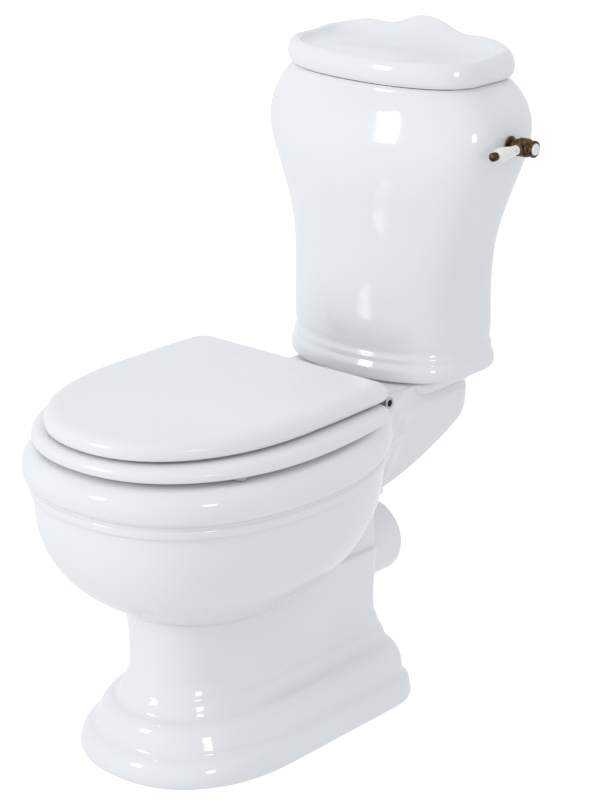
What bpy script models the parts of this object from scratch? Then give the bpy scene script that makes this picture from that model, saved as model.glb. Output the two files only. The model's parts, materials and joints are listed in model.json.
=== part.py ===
"""Close coupled toilet, modelled piece by piece.

Metres, +Z up. The origin lies on the floor under the pan, on the plane of symmetry (x = 0).
The bowl points to -Y, the wall is at +Y, and the flush lever is on the +X side.
"""
import bpy
import bmesh
import numpy as np
from math import cos, pi, radians, sin, tau
from mathutils import Matrix, Vector

# ---------------------------------------------------------------- driving dimensions
GAP = 0.0004                 # clearance left between touching pieces

PLAN_MID = -0.110            # where the bowl, seat and foot are widest, along Y
POLE_Y = -0.050              # centre the pan's sections are traced from
PAN_REAR = 0.296             # rear end of the deck the cistern stands on
DECK_HALF = 0.104            # half width of that deck
RIM_TOP = 0.405              # top of the rim
PAD_TOP = 0.4062             # top of the pad under the cistern

FOOT_HALF = 0.140
FOOT_FRONT = -0.287
FOOT_REAR = 0.142
COLUMN_HALF = 0.0775
COLUMN_FRONT = -0.228
COLUMN_REAR = 0.127
SPLIT_Z = 0.1160              # the foot is a node of its own below this
RIM_Z = 0.3450                # the rim and deck are a node of their own above this
SPLIT_Y = 0.1280              # the outlet behind this is another

BOWL_HALF = 0.190            # reference half width of the bowl, near its rim
BOWL_DEPTH = 0.235           # from PLAN_MID to the front at that size
BOWL_TAIL = 0.252            # from PLAN_MID back to where the belly's oval would close
BELLY_SIZE = 0.963           # belly just under the mouldings, against the rim's reference size
BELLY_TOP = 0.330
BELLY_DROP = 0.159           # height of the belly's rounded underside
BELLY_POWER = 2.1

SPIGOT_Z = 0.168
SPIGOT_END = 0.203
SPIGOT_RADIUS = 0.0500
SPIGOT_BORE = 0.0425
TRAP_RADIUS = 0.0270

FLUSH_Y = 0.216              # flush inlet, on the siphon's axis
FLUSH_RADIUS = 0.0270
GASKET_RADIUS = 0.0460
GASKET_SEAT = 0.392
BOLT_X = 0.064               # bolts that hold the cistern down
BOLT_Y = 0.246
BOLT_RADIUS = 0.0040

HINGE_Y = 0.060              # seat and lid turn about this line, along X
HINGE_Z = 0.4200
HINGE_ROD = 0.0040
HINGE_HALF = 0.135
PILLAR_X = 0.0775

SEAT_BOTTOM = 0.4120
SEAT_TOP = 0.4300
SEAT_HALF = 0.1835
SEAT_FRONT = -0.340
SEAT_REAR = 0.038
LID_BOTTOM = 0.4332
LID_TOP = 0.4550
LID_HALF = 0.1605
LID_FRONT = -0.331
LID_REAR = 0.046

TANK_MID = 0.223             # where the cistern is widest, along Y
TANK_REAR = 0.310
TANK_BOTTOM = 0.4085
TANK_TOP = 0.7830
TANK_WALL = 0.0095
TANK_FLOOR = 0.0120

LEVER_Y = 0.2405
LEVER_Z = 0.7150
LEVER_WALL = 0.1784          # outside of the cistern where the lever comes through
LEVER_SEAT = 0.1650          # flat ground inside the cistern's wall for the lever's nut
LEVER_X = 0.2005             # plane of the handle
SPINDLE_RADIUS = 0.0045
ARM_X = 0.0720               # plane of the arm inside the cistern
ARM_LENGTH = 0.0345

CHAMBER_X = 0.0660           # siphon chamber
CHAMBER_Y = 0.2560
CHAMBER_RADIUS = 0.0340
CHAMBER_LOW = 0.4330
CHAMBER_HIGH = 0.5100
SIPHON_CREST = 0.6150
SIPHON_TUBE = 0.0155
SIPHON_BORE = 0.0130
ARM_DIP = 16                 # degrees the arm slopes down at rest
ROD_Y = LEVER_Y + 0.0338     # midway between the arm's nearest and farthest reach

VALVE_Y = 0.2540             # fill valve, through the cistern's left side
VALVE_Z = 0.7170
VALVE_END = -0.2040          # outer end of its threaded tail
VALVE_SEAT = -0.1680          # flat ground inside the cistern's wall for the valve's washer
PIVOT_X = -0.1180            # pin of the float arm
PIVOT_Z = 0.7085
FLOAT_REACH = 0.0600
FLOAT_RADIUS = 0.0240

# ---------------------------------------------------------------- finishes
GLAZE = ("vitreous_china", (0.86, 0.87, 0.87), 0.06, 0.0)
SEAT_PAINT = ("seat_enamel", (0.86, 0.87, 0.87), 0.18, 0.0)
AGED_BRASS = ("aged_brass", (0.32, 0.21, 0.08), 0.38, 1.0)
BRASS = ("plain_brass", (0.62, 0.45, 0.18), 0.35, 1.0)
WHITE_PLASTIC = ("white_plastic", (0.80, 0.80, 0.78), 0.40, 0.0)
CLEAR_PLASTIC = ("clear_plastic", (0.78, 0.80, 0.80), 0.30, 0.0)
BLACK_RUBBER = ("black_rubber", (0.03, 0.03, 0.03), 0.75, 0.0)
STEEL = ("stainless_steel", (0.60, 0.60, 0.61), 0.30, 1.0)
PORCELAIN = ("handle_porcelain", (0.90, 0.90, 0.88), 0.06, 0.0)
FLOAT_FOAM = ("float_foam", (0.85, 0.85, 0.82), 0.70, 0.0)


# ---------------------------------------------------------------- tools
def clear_scene():
    for item in list(bpy.data.objects):
        bpy.data.objects.remove(item, do_unlink=True)


def finish_of(spec):
    """Return the Principled material for a finish, making it the first time."""
    name, colour, roughness, metallic = spec
    material = bpy.data.materials.get(name)
    if material is None:
        material = bpy.data.materials.new(name)
        material.use_nodes = True
        shader = material.node_tree.nodes["Principled BSDF"]
        shader.inputs["Base Color"].default_value = (*colour, 1.0)
        shader.inputs["Roughness"].default_value = roughness
        shader.inputs["Metallic"].default_value = metallic
        material.diffuse_color = (*colour, 1.0)
    return material


def add_object(name, mesh, spec, origin=(0, 0, 0)):
    """Make an object whose mesh is given in world places and whose origin is moved to origin."""
    mesh.transform(Matrix.Translation(-Vector(origin)))
    mesh.shade_smooth()
    mesh.set_sharp_from_angle(angle=radians(40))
    piece = bpy.data.objects.new(name, mesh)
    piece.location = origin
    bpy.context.scene.collection.objects.link(piece)
    if spec is not None:
        mesh.materials.append(finish_of(spec))
    return piece


def mesh_from(points, faces, name="mesh"):
    mesh = bpy.data.meshes.new(name)
    mesh.from_pydata([tuple(map(float, p)) for p in points], [], faces)
    return mesh


def skin(rings):
    """Close a stack of rings of equal count into a mesh: sides between them, a cap at each end."""
    count = len(rings[0])
    faces = [tuple(reversed(range(count)))]
    for level in range(len(rings) - 1):
        low, high = level * count, (level + 1) * count
        for j in range(count):
            k = (j + 1) % count
            faces.append((low + j, low + k, high + k, high + j))
    top = (len(rings) - 1) * count
    faces.append(tuple(range(top, top + count)))
    return mesh_from(np.concatenate(rings), faces)


def hoop(inner, outer):
    """Close a closed chain of rings, the first joined to the last, into a ring-shaped mesh."""
    rings = outer + inner
    count = len(rings[0])
    faces = []
    for level in range(len(rings)):
        low, high = level * count, (level + 1) % len(rings) * count
        for j in range(count):
            k = (j + 1) % count
            faces.append((low + j, low + k, high + k, high + j))
    return mesh_from(np.concatenate(rings), faces)


def turn(profile, segments, centre=(0, 0, 0), axis="Z"):
    """Turn (radius, height) points, bottom to top along the outside, about an axis through centre."""
    angles = np.arange(segments) * tau / segments
    rings = []
    for radius, height in profile:
        ring = np.stack([radius * np.cos(angles), radius * np.sin(angles),
                         np.full(segments, height)], 1)
        rings.append(ring)
    mesh = skin(rings)
    if axis == "X":
        mesh.transform(Matrix.Rotation(pi / 2, 4, "Y"))
    if axis == "-Y":
        mesh.transform(Matrix.Rotation(pi / 2, 4, "X"))
    if axis == "Y":
        mesh.transform(Matrix.Rotation(-pi / 2, 4, "X"))
    mesh.transform(Matrix.Translation(centre))
    return mesh


def tube_ring(profile, segments, centre=(0, 0, 0), axis="Z"):
    """Turn a closed (radius, height) profile that doesn't reach the axis, such as a washer's."""
    angles = np.arange(segments) * tau / segments
    rings = [np.stack([r * np.cos(angles), r * np.sin(angles), np.full(segments, h)], 1)
             for r, h in profile]
    mesh = hoop([], rings)
    if axis == "X":
        mesh.transform(Matrix.Rotation(pi / 2, 4, "Y"))
    if axis == "Y":
        mesh.transform(Matrix.Rotation(-pi / 2, 4, "X"))
    mesh.transform(Matrix.Translation(centre))
    return mesh


def washer(name, spec, outer, bore, low, high, centre, segments=16, origin=None, axis="Z"):
    profile = [(outer, low), (outer, high), (bore, high), (bore, low)]
    mesh = tube_ring(profile, segments, centre, axis)
    return add_object(name, mesh, spec, origin or centre)


def sweep(path, radius, segments=12, side=(1, 0, 0)):
    """Carry a circle along a path of points and cap both ends. side is never along the path."""
    path = np.array(path, float)
    radius = np.broadcast_to(np.array(radius, float), (len(path),))
    heading = np.gradient(path, axis=0)
    heading /= np.linalg.norm(heading, axis=1)[:, None]
    across = np.array(side, float) - heading * (heading @ np.array(side, float))[:, None]
    across /= np.linalg.norm(across, axis=1)[:, None]
    upward = np.cross(heading, across)
    angles = np.arange(segments) * tau / segments
    rings = []
    for point, right, up, size in zip(path, across, upward, radius):
        rings.append(point + size * (np.outer(np.cos(angles), right) + np.outer(np.sin(angles), up)))
    return skin(rings)


def smooth_path(points, steps):
    """Sample a Catmull-Rom curve through points, steps to each span."""
    points = [Vector(p) for p in points]
    points = [points[0] * 2 - points[1]] + points + [points[-1] * 2 - points[-2]]
    out = []
    for i in range(1, len(points) - 2):
        a, b, c, d = points[i - 1:i + 3]
        for j in range(steps):
            t = j / steps
            out.append(0.5 * (2 * b + (c - a) * t + (2 * a - 5 * b + 4 * c - d) * t * t
                              + (3 * b - a - 3 * c + d) * t ** 3))
    out.append(points[-2])
    return [tuple(p) for p in out]


def box_mesh(low, high):
    (x0, y0, z0), (x1, y1, z1) = low, high
    points = [(x0, y0, z0), (x1, y0, z0), (x1, y1, z0), (x0, y1, z0),
              (x0, y0, z1), (x1, y0, z1), (x1, y1, z1), (x0, y1, z1)]
    faces = [(3, 2, 1, 0), (4, 5, 6, 7), (0, 1, 5, 4), (1, 2, 6, 5), (2, 3, 7, 6), (3, 0, 4, 7)]
    return mesh_from(points, faces)


def rounded_box(low, high, radius, segments=2):
    mesh = box_mesh(low, high)
    work = bmesh.new()
    work.from_mesh(mesh)
    bmesh.ops.bevel(work, geom=work.edges[:], offset=radius, segments=segments, affect="EDGES",
                    clamp_overlap=True)
    work.to_mesh(mesh)
    work.free()
    return mesh


def combine(target, mesh, name, operation):
    """Join a shape to target, or cut it away, with a live exact Boolean and a hidden helper."""
    helper = bpy.data.objects.new(name, mesh)
    helper.hide_render = True
    helper.display_type = "WIRE"
    bpy.context.scene.collection.objects.link(helper)
    helper.matrix_world = Matrix.Identity(4)
    modifier = target.modifiers.new(name, "BOOLEAN")
    modifier.operation = operation
    modifier.solver = "EXACT"
    modifier.object = helper


def cut(target, mesh, name):
    combine(target, mesh, name, "DIFFERENCE")


def join(target, mesh, name):
    combine(target, mesh, name, "UNION")


# ---------------------------------------------------------------- plan shapes
def smooth_min(a, b, blend):
    """Smaller of two fields, rounded over a blend width where they meet."""
    mix = np.clip(0.5 + 0.5 * (b - a) / blend, 0, 1)
    return b * (1 - mix) + a * mix - blend * mix * (1 - mix)


def plan(half, front, rear, tail=None, power=2.25, tail_power=2.0, corner=0.03, mid=PLAN_MID, flare=0.0):
    """A D-shaped plan: a superellipse nose, sides that may flare or an oval tail, cut square at rear."""
    return dict(half=half, front=front, rear=rear, tail=tail, power=power,
                tail_power=tail_power, corner=corner, mid=mid, flare=flare)


def field(shape, x, y):
    """Distance-like field of a plan, negative inside."""
    mid = shape["mid"]
    wide = np.abs(x) / shape["half"]
    nose_v = np.maximum(mid - y, 0) / (mid - shape["front"])
    size = np.maximum((wide ** shape["power"] + nose_v ** shape["power"]) ** (1 / shape["power"]), 1e-4)
    away = np.maximum(np.hypot(x, y - mid), 1e-4)
    nose = away * (1 - 1 / size)
    if shape["tail"] is None:
        behind = np.maximum(y - mid, 0) / (shape["rear"] - mid)
        back = np.abs(x) - shape["half"] - shape["flare"] * behind ** 2
    else:
        power = shape["tail_power"]
        tail_v = np.maximum(y - mid, 0) / (shape["tail"] - mid)
        size = np.maximum((wide ** power + tail_v ** power) ** (1 / power), 1e-4)
        back = away * (1 - 1 / size)
    oval = np.where(y < mid, nose, back)
    return -smooth_min(-oval, shape["rear"] - y, shape["corner"])


def bearings(count):
    """Directions round a plan, closer together at the nose and at the back."""
    t = np.arange(count) / count
    return tau * t - pi / 2 - 0.16 * np.sin(2 * tau * t)


def outline(shapes, height, count, blend=0.03, pole=POLE_Y):
    """Trace the smooth union of plans along each bearing from the pole, by halving."""
    angles = bearings(count)
    c, s = np.cos(angles), np.sin(angles)
    near, far = np.zeros(count), np.full(count, 0.6)
    for _ in range(30):
        middle = (near + far) / 2
        x, y = middle * c, pole + middle * s
        value = field(shapes[0], x, y)
        for shape in shapes[1:]:
            value = smooth_min(value, field(shape, x, y), blend)
        inside = value < 0
        near = np.where(inside, middle, near)
        far = np.where(inside, far, middle)
    return np.stack([near * c, pole + near * s, np.full(count, float(height))], 1)


# ---------------------------------------------------------------- pan
PAN_COUNT = 40
# height of each ring of the foot, and how far it is drawn in at the sides, front and rear
FOOT_STEPS = [(0.000, 0.0040, 0.0040, 0.0040), (0.006, 0.0006, 0.0006, 0.0006),
              (0.015, 0.0000, 0.0000, 0.0000), (0.028, 0.0050, 0.0060, 0.0013),
              (0.040, 0.0180, 0.0200, 0.0048), (0.046, 0.0212, 0.0240, 0.0052),
              (0.062, 0.0285, 0.0290, 0.0058), (0.076, 0.0480, 0.0440, 0.0074),
              (0.082, 0.0505, 0.0470, 0.0082), (0.094, 0.0545, 0.0530, 0.0116),
              (0.104, 0.0620, 0.0600, 0.0148)]
# height of each ring under and round the rim, and its size against the reference size
RIM_STEPS = [(0.3450, 0.967), (0.3480, 0.985), (0.3555, 0.986), (0.3585, 0.975), (0.3630, 1.000),
             (0.3710, 1.020), (0.3800, 1.023), (0.3890, 1.012), (0.3980, 0.985), (0.4050, 0.945)]
# underside of the deck: height, and how far back it reaches there
DECK_UNDERSIDE = [(0.280, 0.106), (0.288, 0.150), (0.300, 0.194), (0.315, 0.228),
                  (0.332, 0.262), (0.342, 0.278), (0.356, 0.284), (0.375, 0.286), (0.390, 0.287)]


RIM_OPENING = [(RIM_TOP + 0.0005, 0.145, -0.297, 0.000), (RIM_TOP - 0.004, 0.141, -0.293, -0.004),
               (0.364, 0.1395, -0.2915, -0.0055), (0.358, 0.1500, -0.303, -0.007),
               (RIM_Z + GAP, 0.1557, -0.3087, -0.0113)]
BOWL_OPENING = [(RIM_Z, 0.1557, -0.3087, -0.0113), (0.340, 0.158, -0.311, -0.013),
                (0.300, 0.161, -0.314, -0.022), (0.255, 0.148, -0.294, -0.031),
                (0.215, 0.116, -0.254, -0.038), (0.180, 0.074, -0.207, -0.043),
                (0.152, 0.046, -0.173, -0.048), (0.135, 0.036, -0.158, -0.052)]


def rear_at(height):
    """How far back the pan reaches at a height: the column's back, then the deck's underside."""
    low, high = DECK_UNDERSIDE[0], DECK_UNDERSIDE[-1]
    if height <= low[0]:
        return COLUMN_REAR
    reach = np.interp(height, [p[0] for p in DECK_UNDERSIDE], [p[1] for p in DECK_UNDERSIDE])
    return max(float(reach), COLUMN_REAR)


def foot_plan(sides, front, rear):
    return plan(FOOT_HALF - sides, FOOT_FRONT + front, FOOT_REAR - rear, power=2.3, corner=0.055)


def column_plan(height, rear, grow=0.0):
    flare = 0.003 * (2 * (height - 0.13) / 0.1) ** 2 if height < 0.2 else 0.0
    return plan(COLUMN_HALF + grow + flare, COLUMN_FRONT - grow - flare, rear, power=2.3, corner=0.03)


def bowl_plan(size, rear):
    return plan(BOWL_HALF * size, PLAN_MID - BOWL_DEPTH * size, rear,
                tail=PLAN_MID + BOWL_TAIL * size, corner=0.03)


def belly_size(height):
    """Size of the belly's oval at a height: a superellipse from its lowest point to its widest."""
    drop = np.clip((BELLY_TOP - height) / BELLY_DROP, 0, 1)
    return max(BELLY_SIZE * (1 - drop ** BELLY_POWER) ** (1 / BELLY_POWER), 0.02)


def foot_outside():
    rings = []
    for height, sides, front, back in FOOT_STEPS:
        rings.append(outline([foot_plan(sides, front, back), column_plan(height, COLUMN_REAR)], height,
                             PAN_COUNT, 0.004))
    rings.append(outline([column_plan(SPLIT_Z, COLUMN_REAR)], SPLIT_Z, PAN_COUNT))
    return rings


def pan_outside():
    rings = []
    for height in (SPLIT_Z + GAP, 0.160):
        rings.append(outline([column_plan(height, COLUMN_REAR)], height, PAN_COUNT))
    for height in (0.177, 0.186, 0.200, 0.220, 0.245, 0.266, 0.282, 0.297, 0.312, 0.330):
        rear = rear_at(height)
        rings.append(outline([bowl_plan(belly_size(height), rear), column_plan(height, rear)],
                             height, PAN_COUNT, 0.010))
    rings.append(rim_section(RIM_Z, RIM_STEPS[0][1]))
    return rings


def rim_section(height, size):
    """Section through the bowl and the deck behind it, joined by a wide fillet."""
    rear = rear_at(height)
    narrow = 0.006 if height > 0.385 else 0.003
    deck = plan(DECK_HALF - narrow, -0.2, rear, corner=0.035)
    return outline([bowl_plan(size, rear), deck], height, PAN_COUNT, 0.035)


def opening_rings(rows):
    rings = []
    for height, half, front, back in rows:
        middle = min(PLAN_MID, (front + back) / 2 + 0.01)
        hole = plan(half, front, back + 0.05, tail=back, power=2.2, tail_power=2.2, mid=middle)
        rings.append(outline([hole], height, PAN_COUNT, pole=(front + back) / 2))
    return rings


def trap_path():
    """Water way from the sump, up over the weir behind the bowl, down and out of the spigot."""
    route = [(0, -0.100, 0.161), (0, -0.068, 0.161), (0, -0.034, 0.174), (0, -0.013, 0.208),
             (0, 0.002, 0.243), (0, 0.028, 0.262), (0, 0.053, 0.244), (0, 0.062, 0.210),
             (0, 0.078, 0.181), (0, 0.105, SPIGOT_Z), (0, 0.140, SPIGOT_Z)]
    return smooth_path(route, 2)


def pocket(front, back, front_high, back_high, half, half_high, height):
    """Hollow under the pedestal, drawn in towards its ceiling."""
    rings = []
    for t, z in ((0, -0.01), (0.0, 0.001), (0.45, 0.045), (1.0, height)):
        h = half + (half_high - half) * t
        f = front + (front_high - front) * t
        b = back + (back_high - back) * t
        middle = (f + b) / 2
        shape = plan(h, f, b + 0.05, tail=b, power=3.4, tail_power=3.4, mid=middle)
        rings.append(outline([shape], z, 20, pole=middle))
    return skin(rings)


def build_foot():
    """Moulded foot of the pan, hollow below, with a web between its two pockets."""
    foot = add_object("pan_foot", skin(foot_outside()), GLAZE)
    cut(foot, pocket(-0.266, -0.013, -0.200, -0.013, 0.122, 0.060, 0.108), "front_pocket")
    cut(foot, pocket(0.013, 0.126, 0.013, 0.102, 0.116, 0.058, 0.104), "rear_pocket")


def build_outlet():
    """Open end of the spigot, behind the column."""
    inside = SPIGOT_BORE
    profile = [(inside, SPLIT_Y + GAP), (SPIGOT_RADIUS, SPLIT_Y + GAP), (SPIGOT_RADIUS, 0.194),
               (SPIGOT_RADIUS - 0.001, SPIGOT_END), (inside, SPIGOT_END)]
    add_object("pan_outlet", tube_ring(profile, 28, (0, 0, SPIGOT_Z), "Y"), GLAZE)


def cut_bolt_ways(target):
    for side in (-1, 1):
        label = "_right" if side > 0 else "_left"
        spot = (side * BOLT_X, BOLT_Y, 0)
        hole = [(BOLT_RADIUS + 0.0015, 0.30), (BOLT_RADIUS + 0.0015, 0.43)]
        cut(target, turn(hole, 12, spot), target.name + "_bolt_hole" + label)
        cut(target, turn([(0.0190, 0.30), (0.0190, 0.366)], 16, spot), target.name + "_bolt_recess" + label)


def build_pan():
    """Column, belly and bowl up to the mouldings: the foot, outlet's end and rim are nodes of their own."""
    rings = pan_outside() + opening_rings(BOWL_OPENING)
    pan = add_object("pan", skin(rings), GLAZE)
    root = [(SPIGOT_RADIUS - 0.002, 0.080), (SPIGOT_RADIUS, 0.110), (SPIGOT_RADIUS, SPLIT_Y)]
    join(pan, turn(root, 28, (0, 0, SPIGOT_Z), "Y"), "spigot_root")
    cut(pan, sweep(trap_path(), TRAP_RADIUS, 12), "trap_way")
    bore = [(TRAP_RADIUS - 0.002, 0.095), (SPIGOT_BORE, 0.135), (SPIGOT_BORE, 0.230)]
    cut(pan, turn(bore, 24, (0, 0, SPIGOT_Z), "Y"), "spigot_bore")
    cut_bolt_ways(pan)


def build_rim():
    """Rim, its mouldings and the deck, with the pad the cistern stands on."""
    outer = [rim_section(RIM_Z + GAP, RIM_STEPS[0][1])]
    outer += [rim_section(height, size) for height, size in RIM_STEPS[1:]]
    rim = add_object("pan_rim", hoop(opening_rings(RIM_OPENING), outer), GLAZE)
    pad_rings = []
    for drawn_in, z in ((0.004, 0.384), (0.0, 0.391), (-0.003, 0.3975), (-0.003, 0.4015),
                        (0.0005, 0.4056), (0.004, PAD_TOP)):
        pad = plan(DECK_HALF - drawn_in, 0.150 + drawn_in, PAN_REAR - drawn_in - 0.006,
                   power=3.0, corner=0.03, mid=0.20)
        pad_rings.append(outline([pad], z, 28, pole=0.21))
    join(rim, skin(pad_rings), "cistern_pad")
    cut(rim, turn([(GASKET_RADIUS + 0.002, GASKET_SEAT), (GASKET_RADIUS + 0.002, 0.42)], 24,
                  (0, FLUSH_Y, 0)), "gasket_recess")
    channel = smooth_path([(0, FLUSH_Y, 0.41), (0, FLUSH_Y, 0.385), (0, 0.198, 0.3685), (0, 0.165, 0.3645),
                           (0, 0.08, 0.3700), (0, -0.02, 0.3720)], 2)
    sizes = np.interp(np.linspace(0, 1, len(channel)), [0, 0.3, 0.6, 1], [FLUSH_RADIUS, 0.022, 0.015, 0.0135])
    cut(rim, sweep(channel, sizes, 10), "flush_channel")
    cut_bolt_ways(rim)
    for side in (-1, 1):
        label = "right" if side > 0 else "left"
        cut(rim, turn([(0.0068, 0.372), (0.0068, 0.43)], 12,
                      (side * PILLAR_X, HINGE_Y, 0)), "plug_hole_" + label)


# ---------------------------------------------------------------- seat and lid
def seat_outline(half, front, rear, tail, height, count, corner=0.02):
    return outline([plan(half, front, rear, tail=tail, power=2.19, corner=corner)], height, count)


def build_seat():
    """Flat below and rounded above, open in the middle, closed across the back."""
    count = 44
    outer = []
    for drawn_in, z in ((0.0030, SEAT_BOTTOM), (0.0, SEAT_BOTTOM + 0.004), (0.0003, SEAT_BOTTOM + 0.010),
                        (0.0035, SEAT_TOP - 0.0035), (0.0090, SEAT_TOP - 0.0008), (0.0160, SEAT_TOP)):
        outer.append(seat_outline(SEAT_HALF - drawn_in, SEAT_FRONT + drawn_in, SEAT_REAR - drawn_in,
                                  0.240, z, count))
    inner = []
    for grow, z in ((0.010, SEAT_TOP - 0.0005), (0.004, SEAT_TOP - 0.004), (0.0, SEAT_TOP - 0.011),
                    (0.002, SEAT_BOTTOM)):
        hole = plan(0.111 + grow, -0.262 - grow, 0.05, tail=-0.030 + grow, power=2.2, tail_power=2.5,
                    mid=-0.125)
        inner.append(outline([hole], z, count))
    mesh = hoop(inner, outer)
    return add_object("seat", mesh, SEAT_PAINT, (0, HINGE_Y, HINGE_Z))


def build_seat_lid():
    rings = []
    for drawn_in, z in ((0.0035, LID_BOTTOM), (0.0005, LID_BOTTOM + 0.003), (0.0, LID_BOTTOM + 0.008),
                        (0.0015, LID_TOP - 0.0075), (0.0055, LID_TOP - 0.0025), (0.0115, LID_TOP - 0.0004),
                        (0.0180, LID_TOP)):
        rings.append(seat_outline(LID_HALF - drawn_in, LID_FRONT + drawn_in, LID_REAR - drawn_in,
                                  0.60, z, 44, 0.022))
    return add_object("seat_lid", skin(rings), SEAT_PAINT, (0, HINGE_Y, HINGE_Z))


def build_buffers():
    """Soft studs that keep the seat off the rim and the lid off the seat."""
    for label, x, y in (("front_left", -0.1490, -0.2230), ("front_right", 0.1490, -0.2230),
                        ("rear_left", -0.1400, 0.0120), ("rear_right", 0.1400, 0.0120)):
        low, high = RIM_TOP + 0.0016, SEAT_BOTTOM - GAP
        profile = [(0.0065, low), (0.0085, low + 0.0010), (0.0090, high - 0.0012), (0.0090, high)]
        add_object("seat_buffer_" + label, turn(profile, 12, (x, y, 0)), CLEAR_PLASTIC,
                   (0, HINGE_Y, HINGE_Z))
    for label, x in (("left", -0.104), ("right", 0.104)):
        low, high = SEAT_TOP + GAP, LID_BOTTOM - GAP
        profile = [(0.0055, low), (0.0070, low + 0.0008), (0.0070, high)]
        add_object("lid_buffer_" + label, turn(profile, 12, (x, -0.255, 0)), CLEAR_PLASTIC,
                   (0, HINGE_Y, HINGE_Z))


def bracket(name, x, plate_low, plate_high, plate_front, spec, span):
    """A leaf that is screwed to the wood and rolled into an eye round the hinge rod."""
    eye = tube_ring([(0.0075, -span), (0.0075, span), (HINGE_ROD + GAP, span),
                     (HINGE_ROD + GAP, -span)], 18, (x, HINGE_Y, HINGE_Z), "X")
    leaf = add_object(name, eye, spec, (0, HINGE_Y, HINGE_Z))
    heel = HINGE_Y - 0.0046
    foot = box_mesh((x - span, plate_front, plate_low), (x + span, heel, plate_high))
    join(leaf, foot, name + "_leaf")
    low, high = min(plate_low, HINGE_Z + 0.0020), max(plate_high, HINGE_Z - 0.0020)
    riser = box_mesh((x - span, heel - 0.0020, low), (x + span, heel, high))
    join(leaf, riser, name + "_riser")
    return leaf


def build_hinge():
    rod = turn([(HINGE_ROD - 0.0008, -HINGE_HALF), (HINGE_ROD, -HINGE_HALF + 0.0008),
                (HINGE_ROD, HINGE_HALF - 0.0008), (HINGE_ROD - 0.0008, HINGE_HALF)],
               16, (0, HINGE_Y, HINGE_Z), "X")
    add_object("hinge_rod", rod, AGED_BRASS, (0, HINGE_Y, HINGE_Z))
    for side in (-1, 1):
        label = "right" if side > 0 else "left"
        x = side * PILLAR_X
        base = [(0.0145, RIM_TOP + 0.0010), (0.0150, RIM_TOP + 0.0025), (0.0130, RIM_TOP + 0.0055),
                (0.0070, RIM_TOP + 0.0070), (0.0064, RIM_TOP + 0.0110)]
        pillar = add_object("hinge_pillar_" + label, turn(base, 18, (x, HINGE_Y, 0)), AGED_BRASS,
                            (x, HINGE_Y, RIM_TOP))
        join(pillar, turn([(0.0078, -0.0085), (0.0085, -0.0070), (0.0085, 0.0070), (0.0078, 0.0085)],
                          16, (x, HINGE_Y, HINGE_Z), "X"), "pillar_eye_" + label)
        cut(pillar, turn([(HINGE_ROD + GAP, -0.02), (HINGE_ROD + GAP, 0.02)], 14,
                         (x, HINGE_Y, HINGE_Z), "X"), "pillar_bore_" + label)
        cut(pillar, turn([(0.0030, RIM_TOP - 0.01), (0.0030, RIM_TOP + 0.0072)], 14, (x, HINGE_Y, 0)),
            "pillar_thread_" + label)
        screw = turn([(0.0018, 0.3740), (0.0026, 0.3755), (0.0026, RIM_TOP + 0.0068)], 14, (x, HINGE_Y, 0))
        add_object("hinge_stud_" + label, screw, STEEL, (x, HINGE_Y, RIM_TOP))
        washer("hinge_plug_" + label, BLACK_RUBBER, 0.0064, 0.0030, 0.3730, RIM_TOP + 0.0006,
               (x, HINGE_Y, 0), 18)
        bracket("seat_bracket_" + label, side * 0.105, SEAT_BOTTOM - 0.0022, SEAT_BOTTOM - GAP,
                -0.020, STEEL, 0.0080)
        bracket("lid_bracket_" + label, side * 0.132, LID_BOTTOM - 0.0018, LID_BOTTOM - GAP,
                0.004, STEEL, 0.0080)


# ---------------------------------------------------------------- cistern
TANK_COUNT = 38
# height of each ring of the cistern, its half width at the back, its depth in front of TANK_MID
# and the blend of its rear corners
TANK_STEPS = [
    (0.4085, 0.1310, 0.0860, 0.055), (0.4120, 0.1350, 0.0890, 0.055), (0.4175, 0.1362, 0.0898, 0.055),
    (0.4245, 0.1350, 0.0890, 0.055), (0.4330, 0.1316, 0.0860, 0.055), (0.4385, 0.1308, 0.0855, 0.055),
    (0.4445, 0.1284, 0.0830, 0.055), (0.4560, 0.1290, 0.0850, 0.055), (0.5000, 0.1285, 0.0858, 0.055),
    (0.5350, 0.1294, 0.0840, 0.055), (0.5650, 0.1326, 0.0815, 0.055), (0.5900, 0.1385, 0.0795, 0.055),
    (0.6230, 0.1507, 0.0802, 0.055), (0.6560, 0.1650, 0.0842, 0.055), (0.6880, 0.1790, 0.0863, 0.055),
    (0.7080, 0.1848, 0.0846, 0.054), (0.7240, 0.1848, 0.0811, 0.050), (0.7400, 0.1800, 0.0770, 0.044),
    (0.7540, 0.1722, 0.0738, 0.040), (0.7680, 0.1614, 0.0720, 0.040), (0.7830, 0.1435, 0.0705, 0.044)]
FLARE_FROM = 0.1300          # half width above which the sides flare towards the wall
FLARE_SHARE = 0.14


def tank_plan(half, depth, corner, drawn_in=0.0, back=0.0):
    """The cistern's D-shaped plan: flat to the wall, widest there, bowed to the front."""
    flare = FLARE_SHARE * max(half - FLARE_FROM, 0)
    return plan(half - flare - drawn_in, TANK_MID - depth + drawn_in, TANK_REAR - drawn_in - back,
                power=2.15, corner=corner, mid=TANK_MID, flare=flare)


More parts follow.
